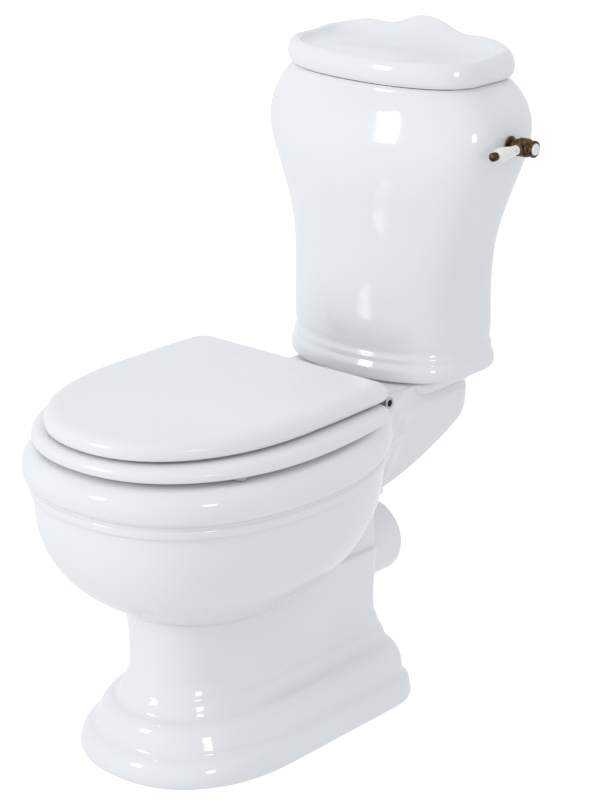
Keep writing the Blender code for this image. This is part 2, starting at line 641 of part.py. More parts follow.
def build_cistern():
    outside = [outline([tank_plan(half, depth, corner)], z, TANK_COUNT, pole=TANK_MID)
               for z, half, depth, corner in TANK_STEPS]
    cistern = add_object("cistern", skin(outside), GLAZE, (0, TANK_REAR, TANK_BOTTOM))
    floor = TANK_BOTTOM + TANK_FLOOR
    inside = [(floor, 0.1270, 0.0820, 0.055), (floor + 0.006, 0.1290, 0.0840, 0.055)]
    inside += [step for step in TANK_STEPS if step[0] > floor + 0.015][1::2]
    inside += [(TANK_TOP + 0.010, 0.1435, 0.0705, 0.044)]
    rings = [outline([tank_plan(half, depth, corner, TANK_WALL)], z, 28, pole=TANK_MID)
             for z, half, depth, corner in inside]
    cut(cistern, skin(rings), "cistern_hollow")
    cut(cistern, turn([(0.0235, 0.40), (0.0235, 0.44)], 24, (0, FLUSH_Y, 0)), "siphon_hole")
    for side in (-1, 1):
        label = "right" if side > 0 else "left"
        cut(cistern, turn([(BOLT_RADIUS + 0.0015, 0.40), (BOLT_RADIUS + 0.0015, 0.44)], 14,
                          (side * BOLT_X, BOLT_Y, 0)), "tank_bolt_hole_" + label)
    cut(cistern, turn([(0.0085, 0.12), (0.0085, 0.24)], 16, (0, LEVER_Y, LEVER_Z), "X"), "lever_hole")
    cut(cistern, turn([(0.0155, 0.1500), (0.0155, LEVER_SEAT)], 18, (0, LEVER_Y, LEVER_Z), "X"), "lever_seat")
    cut(cistern, turn([(0.0112, -0.24), (0.0112, -0.12)], 16, (0, VALVE_Y, VALVE_Z), "X"), "valve_hole")
    cut(cistern, turn([(0.0172, VALVE_SEAT), (0.0172, VALVE_SEAT + 0.03)], 20, (0, VALVE_Y, VALVE_Z), "X"),
        "valve_seat")
    return cistern


def crest_height(x):
    """Rise of the lid's back above its rim: a central peak, dips, and lower shoulders."""
    peak = 0.0262 * np.exp(-(np.abs(x) / 0.047) ** 2.4)
    shoulders = 0.0110 * np.exp(-((np.abs(x) - 0.090) / 0.042) ** 2)
    return peak + shoulders


# height of each ring of the cistern's lid, its half width and depth, how far its back is drawn in,
# and its share of the crest
LID_STEPS = [(0.7838, 0.1400, 0.0670, 0.0030, 0.00), (0.7850, 0.1450, 0.0712, 0.0010, 0.00),
             (0.7890, 0.1488, 0.0742, 0.0000, 0.00), (0.7960, 0.1508, 0.0758, 0.0000, 0.00),
             (0.8030, 0.1502, 0.0752, 0.0000, 0.30), (0.8095, 0.1480, 0.0735, 0.0008, 0.78),
             (0.8140, 0.1440, 0.0705, 0.0034, 0.97), (0.8155, 0.1395, 0.0670, 0.0070, 1.00),
             (0.8145, 0.1350, 0.0635, 0.0112, 0.93), (0.8110, 0.1305, 0.0600, 0.0170, 0.62),
             (0.8075, 0.1245, 0.0550, 0.0260, 0.22), (0.8060, 0.1120, 0.0450, 0.0400, 0.00)]


def build_cistern_lid():
    """Rounded rim, dished middle and a wavy raised back."""
    rings = []
    for z, half, depth, back, lift in LID_STEPS:
        ring = outline([tank_plan(half, depth, 0.042, back=back)], z, 40, pole=TANK_MID)
        share = np.clip((ring[:, 1] + back - (TANK_REAR - 0.062)) / 0.034, 0, 1)
        ring[:, 2] += lift * share * share * (3 - 2 * share) * crest_height(ring[:, 0])
        rings.append(ring)
    lid = add_object("cistern_lid", skin(rings), GLAZE, (0, TANK_REAR, TANK_TOP))
    rib = [outline([tank_plan(0.1435, 0.0705, 0.044, TANK_WALL + 0.0030 + d)], z, 24, pole=TANK_MID)
           for d, z in ((0.0015, 0.7740), (0.0, 0.7760), (0.0, 0.7900))]
    join(lid, skin(rib), "locating_rib")
    hollow = [outline([tank_plan(0.1435, 0.0705, 0.044, TANK_WALL + d)], z, 24, pole=TANK_MID)
              for d, z in ((0.0090, 0.7700), (0.0090, 0.7930), (0.0130, 0.7965))]
    cut(lid, skin(hollow), "lid_underside")
    return lid


# ---------------------------------------------------------------- coupling
def hexagon(name, spec, across, bore, low, high, centre, axis="Z"):
    """A hexagon nut with a plain round hole, as one closed ring."""
    count = 18
    angles = np.arange(count) * tau / count
    flat = (angles + pi / 6) % (pi / 3) - pi / 6
    outside = across / 2 / np.cos(flat)
    rings = []
    for radius, z in ((outside, low), (outside, high), (np.full(count, bore), high),
                      (np.full(count, bore), low)):
        rings.append(np.stack([radius * np.cos(angles), radius * np.sin(angles), np.full(count, z)], 1))
    mesh = hoop([], rings)
    if axis == "X":
        mesh.transform(Matrix.Rotation(pi / 2, 4, "Y"))
    mesh.transform(Matrix.Translation(centre))
    return add_object(name, mesh, spec, centre)


def build_coupling():
    centre = (0, FLUSH_Y, 0)
    profile = [(0.0335, GASKET_SEAT + GAP), (GASKET_RADIUS, GASKET_SEAT + GAP),
               (GASKET_RADIUS, 0.4010), (0.0420, TANK_BOTTOM - GAP), (0.0335, TANK_BOTTOM - GAP)]
    add_object("coupling_gasket", tube_ring(profile, 20, centre), BLACK_RUBBER, (0, FLUSH_Y, GASKET_SEAT))
    hexagon("siphon_back_nut", WHITE_PLASTIC, 0.0560, 0.0226, 0.3985, TANK_BOTTOM - GAP, centre)
    floor = TANK_BOTTOM + TANK_FLOOR
    for side in (-1, 1):
        label = "right" if side > 0 else "left"
        spot = (side * BOLT_X, BOLT_Y, 0)
        washer("bolt_washer_" + label, BLACK_RUBBER, 0.0110, BOLT_RADIUS + GAP, floor + GAP,
               floor + 0.0034, spot)
        bolt = [(BOLT_RADIUS - 0.0008, 0.3330), (BOLT_RADIUS, 0.3340), (BOLT_RADIUS, floor + 0.0038),
                (0.0085, floor + 0.0038), (0.0085, floor + 0.0060), (0.0070, floor + 0.0085)]
        add_object("coupling_bolt_" + label, turn(bolt, 18, spot), BRASS, spot)
        washer("wing_nut_washer_" + label, STEEL, 0.0120, BOLT_RADIUS + GAP, 0.3638, 0.3656, spot)
        build_wing_nut("wing_nut_" + label, spot, 0.3485, 0.3634)


def build_wing_nut(name, spot, low, high):
    """A conical hub with two ears, bored for the bolt."""
    x, y, _ = spot
    hub = add_object(name, turn([(0.0062, low), (0.0085, high)], 16, spot), BRASS, (x, y, low))
    for side in (-1, 1):
        ear = rounded_box((x + side * 0.0100 - 0.0045, y - 0.0014, low - 0.0060),
                          (x + side * 0.0100 + 0.0045, y + 0.0014, low + 0.0070), 0.0012, 1)
        join(hub, ear, name + ("_ear_a" if side < 0 else "_ear_b"))
    bore = [(BOLT_RADIUS + GAP, low - 0.02), (BOLT_RADIUS + GAP, high + 0.01)]
    cut(hub, turn(bore, 16, spot), name + "_bore")


# ---------------------------------------------------------------- flush siphon
def siphon_route():
    """Centre line of the siphon tube: up from the chamber, over the crest and down to the outlet."""
    start_x, start_y = CHAMBER_X - 0.0175, CHAMBER_Y - 0.004
    low = [(start_x, start_y, z) for z in (CHAMBER_HIGH - 0.004, 0.540, SIPHON_CREST - 0.030)]
    steps = 6
    bend = []
    for i in range(steps + 1):
        angle = pi * i / steps
        share = (1 - cos(angle)) / 2
        bend.append((start_x * (1 - share), start_y + (FLUSH_Y - start_y) * share,
                     SIPHON_CREST - 0.026 + 0.026 * sin(angle)))
    down = [(0, FLUSH_Y, 0.560), (0, FLUSH_Y, 0.480), (0, FLUSH_Y, TANK_BOTTOM + TANK_FLOOR + 0.015)]
    return low + bend + down


def build_siphon():
    floor = TANK_BOTTOM + TANK_FLOOR
    chamber = [(CHAMBER_RADIUS, CHAMBER_LOW), (CHAMBER_RADIUS, CHAMBER_HIGH - 0.006),
               (CHAMBER_RADIUS - 0.006, CHAMBER_HIGH)]
    spot = (CHAMBER_X, CHAMBER_Y, 0)
    siphon = add_object("siphon_body", turn(chamber, 20, spot), WHITE_PLASTIC, (0, FLUSH_Y, floor))
    join(siphon, sweep(siphon_route(), SIPHON_TUBE, 12, (0, 1, 0)), "siphon_tube")
    tail = [(0.0220, 0.3950), (0.0220, floor + 0.0042), (0.0300, floor + 0.0042),
            (0.0300, floor + 0.0085), (0.0190, floor + 0.0140), (0.0170, floor + 0.0240)]
    join(siphon, turn(tail, 20, (0, FLUSH_Y, 0)), "siphon_tail")
    well = [(CHAMBER_RADIUS - 0.0022, 0.42), (CHAMBER_RADIUS - 0.0022, CHAMBER_HIGH - 0.0085),
            (CHAMBER_RADIUS - 0.0070, CHAMBER_HIGH - 0.0030)]
    cut(siphon, turn(well, 16, spot), "chamber_well")
    cut(siphon, sweep([(p[0], p[1], p[2] - 0.012) if i == 0 else p for i, p in enumerate(siphon_route())]
                      + [(0, FLUSH_Y, 0.36)], SIPHON_BORE, 10, (0, 1, 0)), "siphon_bore")
    cut(siphon, turn([(0.0042, 0.48), (0.0042, 0.53)], 14, (ARM_X, ROD_Y, 0)), "rod_hole")
    washer("siphon_washer", BLACK_RUBBER, 0.0300, 0.0226, floor + GAP, floor + 0.0038, (0, FLUSH_Y, 0), 20)


def build_lift():
    """Piston, its flap and the rod that the lever lifts."""
    spot = (CHAMBER_X, CHAMBER_Y, 0)
    piston = add_object("siphon_piston", turn([(0.0305, 0.4400), (0.0305, 0.4430)], 20, spot),
                        WHITE_PLASTIC, (ARM_X, ROD_Y, 0.44))
    cut(piston, turn([(0.0026, 0.43), (0.0026, 0.46)], 12, (ARM_X, ROD_Y, 0)), "piston_hole")
    flap = add_object("siphon_diaphragm", turn([(0.0300, 0.4434), (0.0300, 0.4444)], 20, spot),
                      CLEAR_PLASTIC, (ARM_X, ROD_Y, 0.44))
    cut(flap, turn([(0.0040, 0.43), (0.0040, 0.46)], 12, (ARM_X, ROD_Y, 0)), "flap_hole")
    rod = turn([(0.0022, 0.4380), (0.0022, 0.4447), (0.0034, 0.4447), (0.0034, 0.4462), (0.0022, 0.4462),
                (0.0022, 0.6630)], 12, (ARM_X, ROD_Y, 0))
    lift = add_object("lift_rod", rod, BRASS, (ARM_X, ROD_Y, 0.44))
    eye = tube_ring([(0.0055, -0.0016), (0.0055, 0.0016), (0.0026, 0.0016), (0.0026, -0.0016)], 16,
                    (ARM_X, ROD_Y, 0.6665), "X")
    join(lift, eye, "lift_eye")
    top = LEVER_Z - ARM_LENGTH * sin(radians(ARM_DIP))
    link = smooth_path([(ARM_X + 0.0050, ROD_Y, 0.6665), (ARM_X + 0.0010, ROD_Y, 0.6665),
                        (ARM_X - 0.0070, ROD_Y, 0.6690), (ARM_X - 0.0095, ROD_Y, 0.6760),
                        (ARM_X - 0.0095, ROD_Y, top - 0.0090), (ARM_X - 0.0070, ROD_Y, top - 0.0020),
                        (ARM_X - 0.0010, ROD_Y, top), (ARM_X + 0.0050, ROD_Y, top)], 2)
    add_object("lift_link", sweep(link, 0.0013, 8, (0, 1, 0)), BRASS, (ARM_X, ROD_Y, 0.69))


# ---------------------------------------------------------------- flush lever
def build_lever():
    """Everything on the spindle's line: the bush, its nut, the hub with the handle, and the inner arm."""
    line = (0, LEVER_Y, LEVER_Z)
    origin = (LEVER_X, LEVER_Y, LEVER_Z)
    bore = SPINDLE_RADIUS + GAP
    face = LEVER_WALL + GAP
    bush = [(0.0104, face), (0.0112, face + 0.0012), (0.0100, face + 0.0026), (bore, face + 0.0026),
            (bore, face - 0.0190), (0.0078, face - 0.0190), (0.0078, face)]
    add_object("lever_bush", tube_ring(bush, 18, line, "X"), AGED_BRASS, line)
    hexagon("lever_back_nut", BRASS, 0.0240, 0.0082, LEVER_SEAT - 0.0054, LEVER_SEAT - GAP, line, "X")
    spindle = [(SPINDLE_RADIUS - 0.0005, ARM_X - 0.0050), (SPINDLE_RADIUS, ARM_X - 0.0040),
               (SPINDLE_RADIUS, LEVER_X - 0.0040)]
    add_object("lever_spindle", turn(spindle, 14, line, "X"), BRASS, origin)
    x = LEVER_X
    hub = [(0.0076, x - 0.0122), (0.0094, x - 0.0112), (0.0084, x - 0.0095), (0.0112, x - 0.0070),
           (0.0116, x), (0.0112, x + 0.0070), (0.0088, x + 0.0090), (0.0088, x + 0.0110),
           (0.0106, x + 0.0122), (0.0106, x + 0.0155), (0.0098, x + 0.0162)]
    body = add_object("lever_hub", turn(hub, 16, line, "X"), AGED_BRASS, origin)
    cut(body, turn([(bore, x - 0.02), (bore, x - 0.0035)], 14, line, "X"), "hub_socket")
    cut(body, turn([(0.0078, x + 0.0130), (0.0078, x + 0.0200)], 16, line, "X"), "cap_recess")
    neck = [(0.0066, 0.0080), (0.0066, 0.0130), (0.0080, 0.0138), (0.0080, 0.0158), (0.0055, 0.0162)]
    join(body, turn(neck, 12, origin, "-Y"), "hub_neck")
    cut(body, turn([(0.0028, 0.0125), (0.0028, 0.0250)], 10, origin, "-Y"), "neck_socket")
    cap = [(0.0074, x + 0.0134), (0.0074, x + 0.0168), (0.0060, x + 0.0182), (0.0020, x + 0.0190)]
    add_object("lever_end_cap", turn(cap, 16, line, "X"), PORCELAIN, origin)
    grip = [(0.0024, 0.0132), (0.0024, 0.0166), (0.0058, 0.0166), (0.0060, 0.0210), (0.0068, 0.0300),
            (0.0082, 0.0400), (0.0090, 0.0470), (0.0086, 0.0530), (0.0064, 0.0572), (0.0040, 0.0580)]
    handle = add_object("lever_handle", turn(grip, 16, origin, "-Y"), PORCELAIN, origin)
    cut(handle, turn([(0.0019, 0.0480), (0.0019, 0.0800)], 10, origin, "-Y"), "finial_socket")
    finial = [(0.0016, 0.0500), (0.0016, 0.0584), (0.0050, 0.0584), (0.0052, 0.0598), (0.0038, 0.0608),
              (0.0054, 0.0628), (0.0056, 0.0650), (0.0038, 0.0672), (0.0012, 0.0680)]
    add_object("lever_finial", turn(finial, 14, origin, "-Y"), AGED_BRASS, origin)
    plate = rounded_box((-0.0020, -0.0080, -0.0080), (0.0020, ARM_LENGTH + 0.0060, 0.0080), 0.0010, 1)
    plate.transform(Matrix.Rotation(radians(-ARM_DIP), 4, "X"))
    plate.transform(Matrix.Translation((ARM_X, LEVER_Y, LEVER_Z)))
    arm = add_object("lever_arm", plate, BRASS, (ARM_X, LEVER_Y, LEVER_Z))
    cut(arm, turn([(SPINDLE_RADIUS + 0.0003, 0.05), (SPINDLE_RADIUS + 0.0003, 0.09)], 14, line, "X"),
        "arm_bore")
    eye = (0, LEVER_Y + ARM_LENGTH * cos(radians(ARM_DIP)), LEVER_Z - ARM_LENGTH * sin(radians(ARM_DIP)))
    cut(arm, turn([(0.0026, 0.05), (0.0026, 0.09)], 12, eye, "X"), "link_hole")


# ---------------------------------------------------------------- fill valve
def build_fill_valve():
    """Brass ball valve through the cistern's side, its arm's pin in two ears under the body."""
    line = (0, VALVE_Y, VALVE_Z)
    wall = VALVE_SEAT - GAP
    body = [(0.0096, VALVE_END), (0.0104, VALVE_END + 0.0010), (0.0104, wall + 0.0030),
            (0.0160, wall + 0.0030), (0.0160, wall + 0.0060), (0.0115, wall + 0.0080),
            (0.0100, -0.1500), (0.0100, -0.1240)]
    valve = add_object("fill_valve", turn(body, 18, line, "X"), BRASS, (wall, VALVE_Y, VALVE_Z))
    for side, tag in ((-1, "a"), (1, "b")):
        y = VALVE_Y + side * 0.0062
        ear = box_mesh((PIVOT_X - 0.0120, y - 0.0014, PIVOT_Z - 0.0045),
                       (PIVOT_X + 0.0045, y + 0.0014, PIVOT_Z + 0.0070))
        join(valve, ear, "valve_ear_" + tag)
    cut(valve, turn([(0.0018, -0.02), (0.0018, 0.02)], 12, (PIVOT_X, VALVE_Y, PIVOT_Z), "Y"), "ear_hole")
    spout = turn([(0.0050, VALVE_Z - 0.0330), (0.0050, VALVE_Z - 0.0020)], 14, (-0.1540, VALVE_Y, 0))
    join(valve, spout, "valve_spout")
    cut(valve, turn([(0.0035, VALVE_Z - 0.05), (0.0035, VALVE_Z)], 12, (-0.1540, VALVE_Y, 0)), "spout_bore")
    cut(valve, turn([(0.0060, VALVE_END - 0.01), (0.0060, -0.10)], 16, line, "X"), "valve_bore")
    cut(valve, box_mesh((-0.1335, VALVE_Y - 0.0044, VALVE_Z - 0.03), (-0.1100, VALVE_Y + 0.0044, VALVE_Z)),
        "arm_slot_in_body")
    washer("fill_valve_washer", BLACK_RUBBER, 0.0155, 0.0108, wall + 0.0008, wall + 0.0026, line, 20,
           axis="X")
    hexagon("fill_valve_nut", BRASS, 0.0280, 0.0108, -0.1872, -0.1802, line, "X")
    plunger = turn([(0.0054, -0.1500), (0.0054, -0.1225)], 16, line, "X")
    piece = add_object("fill_valve_plunger", plunger, BRASS, (-0.1360, VALVE_Y, VALVE_Z))
    cut(piece, box_mesh((-0.1310, VALVE_Y - 0.0100, VALVE_Z - 0.0100),
                        (-0.1245, VALVE_Y + 0.0100, VALVE_Z + 0.0015)), "plunger_slot")


def build_float():
    """Arm pinned in the valve's ears, with the float at its far end."""
    origin = (PIVOT_X, VALVE_Y, PIVOT_Z)
    arm = add_object("float_arm", turn([(0.0014, -0.0090), (0.0014, 0.0090)], 10, origin, "Y"), BRASS, origin)
    cheek = rounded_box((PIVOT_X - 0.0120, VALVE_Y - 0.0040, PIVOT_Z - 0.0030),
                        (PIVOT_X + 0.0060, VALVE_Y + 0.0040, PIVOT_Z + 0.0026), 0.0008, 1)
    join(arm, cheek, "arm_cheek")
    finger = box_mesh((PIVOT_X - 0.0118, VALVE_Y - 0.0030, PIVOT_Z - 0.0010),
                      (PIVOT_X - 0.0080, VALVE_Y + 0.0030, VALVE_Z + 0.0005))
    join(arm, finger, "arm_finger")
    stem = turn([(0.0020, 0.0040), (0.0020, FLOAT_REACH - 0.0180)], 10, origin, "X")
    join(arm, stem, "arm_stem")
    ball = []
    steps = 9
    for i in range(steps + 1):
        angle = pi * (i + 0.35) / (steps + 0.7)
        ball.append((FLOAT_RADIUS * sin(angle), -FLOAT_RADIUS * cos(angle)))
    globe = add_object("float", turn(ball, 16, (PIVOT_X + FLOAT_REACH, VALVE_Y, PIVOT_Z), "X"),
                       FLOAT_FOAM, origin)
    cut(globe, turn([(0.0023, FLOAT_REACH - 0.05), (0.0023, FLOAT_REACH - 0.0170)], 12, origin, "X"),
        "float_socket")


def main():
    clear_scene()
    build_foot()
    build_outlet()
    build_pan()
    build_rim()
    build_seat()
    build_seat_lid()
    build_buffers()
    build_hinge()
    build_cistern()
    build_cistern_lid()
    build_coupling()
    build_siphon()
    build_lift()
    build_lever()
    build_fill_valve()
    build_float()


main()
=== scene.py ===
import json
import math

import bpy
import numpy as np
from mathutils import Matrix, Vector


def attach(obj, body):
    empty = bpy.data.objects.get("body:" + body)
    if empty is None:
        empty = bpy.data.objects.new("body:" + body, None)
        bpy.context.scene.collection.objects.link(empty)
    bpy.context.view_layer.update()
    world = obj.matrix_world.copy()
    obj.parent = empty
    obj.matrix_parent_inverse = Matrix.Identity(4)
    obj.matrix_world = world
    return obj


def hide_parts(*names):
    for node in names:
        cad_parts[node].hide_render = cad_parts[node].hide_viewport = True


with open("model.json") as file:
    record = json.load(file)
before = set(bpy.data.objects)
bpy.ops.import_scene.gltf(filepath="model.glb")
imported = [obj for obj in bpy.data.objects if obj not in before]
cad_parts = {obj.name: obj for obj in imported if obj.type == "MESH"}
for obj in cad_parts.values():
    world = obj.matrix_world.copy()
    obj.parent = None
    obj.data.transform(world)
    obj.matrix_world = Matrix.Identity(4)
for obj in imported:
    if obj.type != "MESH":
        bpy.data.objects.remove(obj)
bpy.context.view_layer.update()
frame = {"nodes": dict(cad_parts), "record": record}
print("frame loaded")


sharpFrom = math.radians(38)  # edges turned by more than this stay crisp


def aroundPole(count, gather=0.16):
    # directions round a plan: even steps less a double sine, so closer together at the nose and the back
    turnShare = np.arange(count) / count
    return math.tau * turnShare - math.pi / 2 - gather * np.sin(2 * math.tau * turnShare)


def climb(value, start, span):
    # share of a span that a value has climbed, from 0 at its start to 1 at its end
    return np.clip((value - start) / span, 0, 1)


def smoothMin(a, b, blend):
    # the smaller of two fields, rounded over a blend width where they meet
    mix = np.clip(0.5 + 0.5 * (b - a) / blend, 0, 1)
    return b * (1 - mix) + a * mix - blend * mix * (1 - mix)


def columnOf(value, levels):
    # a number, or one number for each ring, as a column that spreads along the ring
    return np.broadcast_to(np.asarray(value, float), (levels,))[:, None]


def ovalNose(x, y, half, reach, mid, power):
    # radial distance from the superellipse (x / half)^p + ((mid - y) / reach)^p = 1, negative inside
    size = ((np.abs(x) / half) ** power + (np.maximum(mid - y, 0) / reach) ** power) ** (1 / power)
    return np.maximum(np.hypot(x, y - mid), 1e-4) * (1 - 1 / np.maximum(size, 1e-4))


def planField(x, y, half, front, rear, mid, power=2.25, tail=None, tailPower=2.0, corner=0.03, flare=0.0):
    # D-shaped plan: an oval nose in front of mid; behind it straight sides that may flare, or an oval
    # tail; all cut square at rear with rounded corners
    nose = ovalNose(x, y, half, mid - front, mid, power)
    if tail is None:
        back = np.abs(x) - half - flare * (np.maximum(y - mid, 0) / (rear - mid)) ** 2
    else:
        back = ovalNose(x, -y, half, tail - mid, -mid, tailPower)
    return -smoothMin(-np.where(y < mid, nose, back), rear - y, corner)


def traceRings(heights, fieldOf, count, pole, farthest=0.6, halvings=26):
    # every ring at once: along each bearing from the pole, halve again and again between inside and outside
    angle = aroundPole(count)[None, :]
    heights = np.asarray(heights, float)
    pole = columnOf(pole, len(heights))
    near = np.zeros((len(heights), count))
    far = np.full((len(heights), count), farthest)
    for _ in range(halvings):
        middle = (near + far) / 2
        inside = fieldOf(middle * np.cos(angle), pole + middle * np.sin(angle)) < 0
        near = np.where(inside, middle, near)
        far = np.where(inside, far, middle)
    z = np.broadcast_to(heights[:, None], near.shape)
    return np.stack([near * np.cos(angle), pole + near * np.sin(angle), z], 2)


def planRings(rows, count, pole, **fixed):
    # rows of numbers, one row a height, traced as rings; fixed["columns"] names them, and what else is in
    # fixed is the same at every height
    columns = fixed.pop("columns")
    table = {key: np.array([row[i] for row in rows], float) for i, key in enumerate(columns)}
    heights = table.pop("z")
    shape = {key: columnOf(value, len(rows)) for key, value in table.items()}
    return traceRings(heights, lambda x, y: planField(x, y, **shape, **fixed), count, pole)


def easeRings(rings, steps, closed=False):
    # a smooth curve down each column of points: at a point the slope is the mean of the two spans'
    # directions, each weighted by the other's length, and a cubic joins one point to the next
    if closed:
        after, before = np.roll(rings, -1, 0) - rings, rings - np.roll(rings, 1, 0)
    else:
        spans = np.diff(rings, axis=0)
        after, before = np.concatenate([spans, spans[-1:]]), np.concatenate([spans[:1], spans])
    reachAfter, reachBefore = (np.linalg.norm(span, axis=-1, keepdims=True) + 1e-9
                               for span in (after, before))
    slope = before * reachAfter / reachBefore + after * reachBefore / reachAfter
    slope /= reachAfter + reachBefore
    last = len(rings) if closed else len(rings) - 1
    start, end = rings[:last, None], np.roll(rings, -1, 0)[:last, None]
    leave = (slope * reachAfter)[:last, None]
    arrive = np.roll(slope, -1, 0)[:last, None] * reachAfter[:last, None]
    t = (np.arange(steps) / steps).reshape(1, -1, *[1] * (rings.ndim - 1))
    eased = ((2 * t ** 3 - 3 * t ** 2 + 1) * start + (t ** 3 - 2 * t ** 2 + t) * leave
             + (3 * t ** 2 - 2 * t ** 3) * end + (t ** 3 - t ** 2) * arrive)
    eased = eased.reshape(-1, *rings.shape[1:])
    return eased if closed else np.concatenate([eased, rings[-1:]])


def gridFaces(levels, count, wrapLevels=False):
    # quads between neighbouring rings, each ring closed on itself
    level = np.arange(levels if wrapLevels else levels - 1)[:, None]
    step = np.arange(count)[None, :]
    low, high = level * count, (level + 1) % levels * count
    right = (step + 1) % count
    return np.stack([low + step, low + right, high + right, high + step], -1).reshape(-1, 4)


def meshOf(name, points, quads, caps=()):
    # fills a mesh from whole arrays; a cap is a ring's first index and its count, closed by one face
    mesh = bpy.data.meshes.new(name)
    faces = quads.tolist() + [list(cap) for cap in caps]
    mesh.from_pydata(points.reshape(-1, 3).tolist(), [], faces)
    mesh.update()
    return mesh


def loftedMesh(name, rings):
    # rings bottom to top along the outside, closed at both ends
    levels, count = rings.shape[:2]
    ends = range(count - 1, -1, -1), range((levels - 1) * count, levels * count)
    return meshOf(name, rings, gridFaces(levels, count), ends)


def hoopMesh(name, rings):
    # rings round a closed profile, the last joined to the first
    levels, count = rings.shape[:2]
    return meshOf(name, rings, gridFaces(levels, count, True))


def turnedRings(profile, count, steps=4, smooth=True):
    # (radius, height) pairs carried round Z; smooth runs a curve through them first
    profile = np.array(profile, float)[:, None, :]
    if smooth:
        profile = easeRings(profile, steps)
    angle = np.arange(count) / count * math.tau
    radius, height = profile[..., 0], profile[..., 1]
    return np.stack([radius * np.cos(angle), radius * np.sin(angle), height + 0 * angle], 2)


def lieAlong(rings, axis, centre):
    # turns a shape made round Z so that Z lies along axis, and moves it to centre
    spin = Vector((0, 0, 1)).rotation_difference(Vector(axis)).to_matrix()
    return rings @ np.array(spin).T + np.array(centre)


def addPiece(name, mesh, slotName, body, replaced):
    # a finished mesh as a piece of the object: its finish, the body it rides and the nodes it stands for
    mesh.materials.clear()
    mesh.materials.append(finishes[slotName])
    mesh.shade_smooth()
    mesh.set_sharp_from_angle(angle=sharpFrom)
    piece = bpy.data.objects.new(name, mesh)
    bpy.context.scene.collection.objects.link(piece)
    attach(piece, body)
    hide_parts(*replaced)
    return piece


def carve(mesh, tools, operation):
    # joins or cuts a closed mesh by another, and returns the result with no modifier left
    base = bpy.data.objects.new("carveBase", mesh)
    tool = bpy.data.objects.new("carveTool", tools)
    for item in (base, tool):
        bpy.context.scene.collection.objects.link(item)
    step = base.modifiers.new("carve", "BOOLEAN")
    step.operation = operation
    step.solver = "MANIFOLD"
    step.object = tool
    depsgraph = bpy.context.evaluated_depsgraph_get()
    result = bpy.data.meshes.new_from_object(base.evaluated_get(depsgraph))
    for item in (base, tool):
        bpy.data.objects.remove(item)
    return result


def mergedMesh(name, parts):
    # several separate closed shells as one mesh
    points, faces, start = [], [], 0
    for rings in parts:
        levels, count = rings.shape[:2]
        points.append(rings.reshape(-1, 3))
        faces += (gridFaces(levels, count) + start).tolist()
        faces.append([start + i for i in range(count - 1, -1, -1)])
        faces.append([start + (levels - 1) * count + i for i in range(count)])
        start += levels * count
    mesh = bpy.data.meshes.new(name)
    mesh.from_pydata(np.concatenate(points).tolist(), [], faces)
    mesh.update()
    return mesh


def newFinish(name, colour, roughness, metallic=0.0):
    # a plain material, with its node tree and its shader for more to be joined on
    finish = bpy.data.materials.new(name)
    finish.use_nodes = True
    shader = finish.node_tree.nodes["Principled BSDF"]
    shader.inputs["Base Color"].default_value = (*colour, 1)
    shader.inputs["Roughness"].default_value = roughness
    shader.inputs["Metallic"].default_value = metallic
    return finish, finish.node_tree, shader


def grainNode(tree, scale, detail, stretch=None):
    # noise over the object's own coordinates, stretched along an axis where a grain runs
    place = tree.nodes.new("ShaderNodeTexCoord")
    noise = tree.nodes.new("ShaderNodeTexNoise")
    noise.inputs["Scale"].default_value = scale
    noise.inputs["Detail"].default_value = detail
    source = place.outputs["Object"]
    if stretch:
        mapping = tree.nodes.new("ShaderNodeMapping")
        mapping.inputs["Scale"].default_value = stretch
        tree.links.new(source, mapping.inputs["Vector"])
        source = mapping.outputs["Vector"]
    tree.links.new(source, noise.inputs["Vector"])
    return noise.outputs["Fac"]


def rampFrom(tree, source, ends, colours):
    # the grain's value between two ends spread evenly between two colours
    ramp = tree.nodes.new("ShaderNodeValToRGB")
    for stop, position, colour in zip(ramp.color_ramp.elements, ends, colours):
        stop.position = position
        stop.color = (*colour, 1)
    tree.links.new(source, ramp.inputs["Fac"])
    return ramp.outputs["Color"]


def bumpFrom(tree, shader, source, strength, depth):
    # tilts the surface by the slope of the grain's value times the depth
    bump = tree.nodes.new("ShaderNodeBump")
    bump.inputs["Strength"].default_value = strength
    bump.inputs["Distance"].default_value = depth
    tree.links.new(source, bump.inputs["Height"])
    tree.links.new(bump.outputs["Normal"], shader.inputs["Normal"])


# where the grains' values begin and end on the ramps, the grains' detail, and the clear layer's index
grainUse = {"colourEnds": (0.35, 0.65), "roughEnds": (0.2, 0.8), "broadDetail": 2.0, "fineDetail": 4.0,
            "index": 1.5}


def speckledFinish(name, look):
    # two close colours over a broad grain; two close roughnesses and a shallow bump over a finer one
    use = grainUse
    finish, tree, shader = newFinish(name, look["light"], look["rough"][0], look.get("metallic", 0.0))
    broad = grainNode(tree, look["broadScale"], use["broadDetail"], look.get("stretch"))
    fine = grainNode(tree, look["fineScale"], use["fineDetail"], look.get("stretch"))
    colour = rampFrom(tree, broad, use["colourEnds"], (look["dark"], look["light"]))
    rough = rampFrom(tree, fine, use["roughEnds"], [(value,) * 3 for value in look["rough"]])
    tree.links.new(colour, shader.inputs["Base Color"])
    tree.links.new(rough, shader.inputs["Roughness"])
    bumpFrom(tree, shader, fine, look["bump"], look["bumpDepth"])
    shader.inputs["Coat Weight"].default_value = look.get("coat", 0.0)
    shader.inputs["Coat Roughness"].default_value = look.get("coatRough", 0.03)
    shader.inputs["IOR"].default_value = use["index"]
    shader.inputs["Transmission Weight"].default_value = look.get("clear", 0.0)
    return finish


